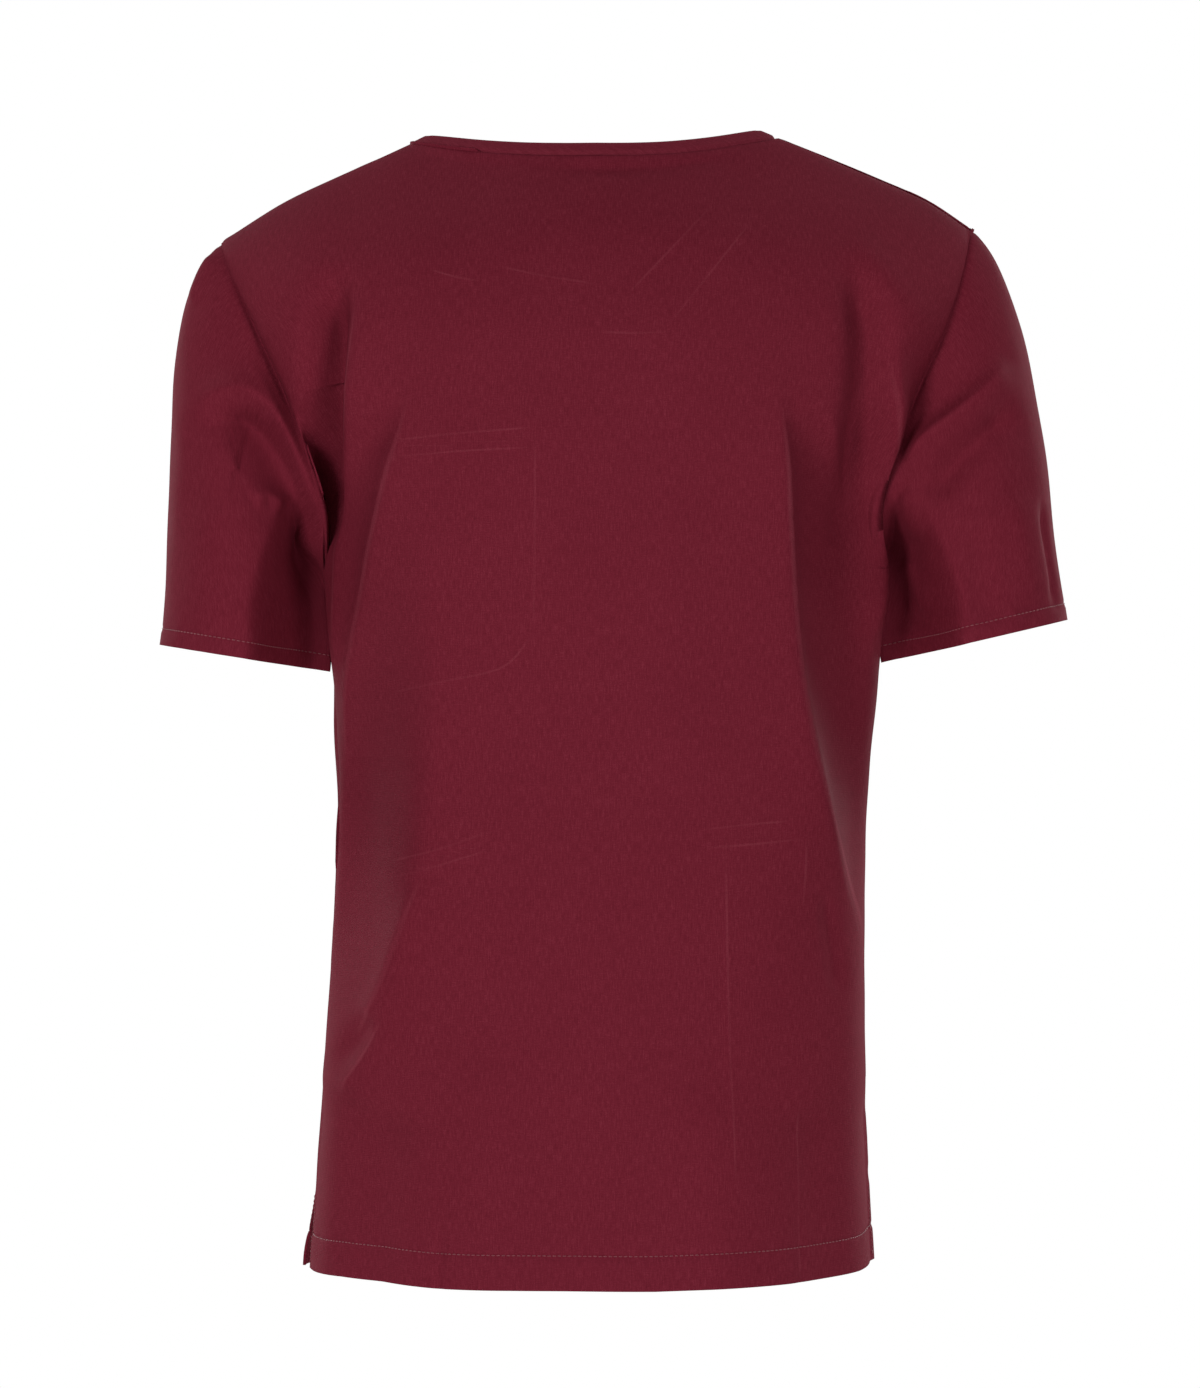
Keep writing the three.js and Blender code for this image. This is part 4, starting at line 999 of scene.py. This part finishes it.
def stitched(name, rows):
    """Short rounded stitches along each row of points, lying on the cloth whose normals are given."""
    vertices, faces = [], []
    turns = np.linspace(0, 2 * math.pi, STITCH_SIDES, endpoint=False)
    for points, normals in rows:
        length = run_along(points)

        def at(distance, source):
            return np.array([np.interp(distance, length, source[:, k]) for k in range(3)])

        for centre in np.arange(STITCH_PITCH, length[-1] - STITCH_PITCH / 2, STITCH_PITCH):
            start, end = at(centre - STITCH_LENGTH / 2, points), at(centre + STITCH_LENGTH / 2, points)
            up = at(centre, normals)
            over = np.cross((end - start) / np.linalg.norm(end - start), up)
            first = len(vertices)
            for share, size, rise in STITCH_RINGS:
                middle = start + (end - start) * share + up * (STITCH_LIFT + rise)
                for turn in turns:
                    vertices.append(middle + STITCH_RADIUS * size * (over * math.cos(turn) + up * math.sin(turn)))
            for k in range(len(STITCH_RINGS) - 1):
                for side in range(STITCH_SIDES):
                    c, d = first + k * STITCH_SIDES + side, first + k * STITCH_SIDES + (side + 1) % STITCH_SIDES
                    faces.append((c, d, d + STITCH_SIDES, c + STITCH_SIDES))
            faces.append(tuple(range(first, first + STITCH_SIDES))[::-1])
            faces.append(tuple(range(len(vertices) - STITCH_SIDES, len(vertices))))
    mesh = bpy.data.meshes.new(name)
    mesh.from_pydata((np.array(vertices) * MM).tolist(), [], faces)
    mesh.polygons.foreach_set("use_smooth", np.ones(len(mesh.polygons), bool))
    mesh.validate()
    mesh.update()
    piece = new_object(name, mesh)
    mesh.materials.append(THREAD_MATERIAL)
    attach(piece, "root")


def row_at_length(grid, normals, distance, from_end=False):
    """The line on a grid at a distance from its first row, or its last."""
    run = lengths(grid, 0)
    if from_end:
        run = run[-1:] - run
    points, ups = [], []
    for column in range(grid.shape[1]):
        order = np.argsort(run[:, column])
        for source, target in ((grid, points), (normals, ups)):
            target.append([np.interp(distance, run[order, column], source[order, column, axis]) for axis in range(3)])
    return np.array(points), np.array(ups)


stitched("stitches_hem", [
    row_at_length(panel["outer"], panel["normals"], PANEL_HEM["depth"] - STITCH_INSET) for panel in panels.values()])

for hand, sleeve in sleeves.items():
    row = row_at_length(sleeve["outer"], sleeve["normals"], SLEEVE_HEM["depth"] - STITCH_INSET, from_end=True)
    stitched(f"stitches_sleeve_{hand}", [[np.vstack([line, line[:1]]) for line in row]])

vent_rows = []
for panel in panels.values():
    sideways = panel["outer"].swapaxes(0, 1), panel["normals"].swapaxes(0, 1)
    for side in (0, -1):
        row = row_at_length(*sideways, VENT_STITCH_INSET, from_end=side == -1)
        beside_vent = (panel["up"][:, side] < VENT_HEIGHT + 3) & (panel["up"][:, side] > 1)
        vent_rows.append([line[beside_vent] for line in row])
stitched("stitches_vents", vent_rows)

pocket_rows = []
for name, pocket in pockets.items():
    near, last = POCKET_STITCH_COLUMN, -POCKET_STITCH_COLUMN - 1
    sides = pocket["far"], pocket["normal"]
    pocket_rows.append([grid[::-1, near] for grid in sides])
    pocket_rows.append([grid[near, near:last] for grid in sides])
    pocket_rows.append([grid[:, last] for grid in sides])
    mouth = row_at_length(*(grid[::-1] for grid in sides), POCKETS[name]["hem"] - 2)
    pocket_rows.append([line[near:-near] for line in mouth])
stitched("stitches_pockets", pocket_rows)

# Floor: a plain pale disc, as far below the shoulders as a wearer's feet.
FLOOR_DROP, FLOOR_RADIUS, FLOOR_SIDES = 1.44, 2.6, 96
mesh = bpy.data.meshes.new("floor")
turns = np.linspace(0, 2 * math.pi, FLOOR_SIDES, endpoint=False)
rim_points = [(FLOOR_RADIUS * math.cos(t), FLOOR_RADIUS * math.sin(t), -FLOOR_DROP) for t in turns]
mesh.from_pydata(rim_points, [], [tuple(range(FLOOR_SIDES))])
floor = new_object("floor", mesh)
material = bpy.data.materials.new("pale_matt_floor_paint")
material.use_nodes = True
paint = material.node_tree.nodes["Principled BSDF"]
paint.inputs["Base Color"].default_value = linear("#ecebe9")
paint.inputs["Roughness"].default_value = 0.9
mesh.materials.append(material)

# Studio: a white surround that the camera sees bright and that lights the cloth only gently, and soft boxes in pairs,
# two behind the garment at its sides, two before it, two high at the edges and two weak ones low at the edges.
SURROUND_LIGHT = 0.08
world = bpy.data.worlds.new("white_studio")
bpy.context.scene.world = world
world.use_nodes = True
tree = world.node_tree
tree.nodes.clear()
path = add_node(tree, "ShaderNodeLightPath")
seen = add_node(tree, "ShaderNodeMapRange", {"To Min": SURROUND_LIGHT, "To Max": 1.0},
                Value=path.outputs["Is Camera Ray"])
surround = add_node(tree, "ShaderNodeBackground", {"Color": (1, 1, 1, 1)}, Strength=seen.outputs[0])
add_node(tree, "ShaderNodeOutputWorld", None, Surface=surround.outputs[0])

# Each pair: how far out, back and up in metres, the height aimed at, width and height, watts on the left and right
LIGHT_PAIRS = {
    "": (1.6, 2.65, 0.1, -0.38, 0.8, 2.0, 41, 28),
    "front_": (1.8, -2.5, 0.2, -0.35, 0.8, 2.2, 30, 37),
    "edge_": (2.1, -1.2, 1.7, -0.2, 0.8, 0.8, 34, 34),
    "low_": (2.0, -0.8, -1.1, -0.65, 0.8, 0.5, 4, 4),
}
for pair, (out, back, up, aim, width, height, *watts) in LIGHT_PAIRS.items():
    for hand, sign, power in zip(("left", "right"), (1, -1), watts):
        light = bpy.data.lights.new(f"{pair}{hand}_light", "AREA")
        light.shape, light.size, light.size_y, light.energy = "RECTANGLE", width, height, power
        lamp = new_object(light.name, light)
        lamp.location = (sign * out, back, up)
        lamp.rotation_euler = (Vector((0, 0, aim)) - lamp.location).to_track_quat("-Z", "Y").to_euler()

# Camera: level, straight behind the piece, 3.2 m away, with the photograph's framing.
CAMERA_DISTANCE, CAMERA_X, CAMERA_Z = 3.2, -0.0044, -0.351
MM_PER_PIXEL, IMAGE_HEIGHT = 0.633, 1388
SENSOR = 36.0
camera_data = bpy.data.cameras.new("camera")
camera_data.sensor_fit = "AUTO"
camera_data.sensor_width = SENSOR
camera_data.lens = SENSOR * CAMERA_DISTANCE / (IMAGE_HEIGHT * MM_PER_PIXEL * MM)
camera = new_object("camera", camera_data)
camera.location = (CAMERA_X, CAMERA_DISTANCE, CAMERA_Z)
camera.rotation_euler = (math.radians(90), 0, math.radians(180))
bpy.context.scene.camera = camera
bpy.context.scene.view_settings.view_transform = "Standard"
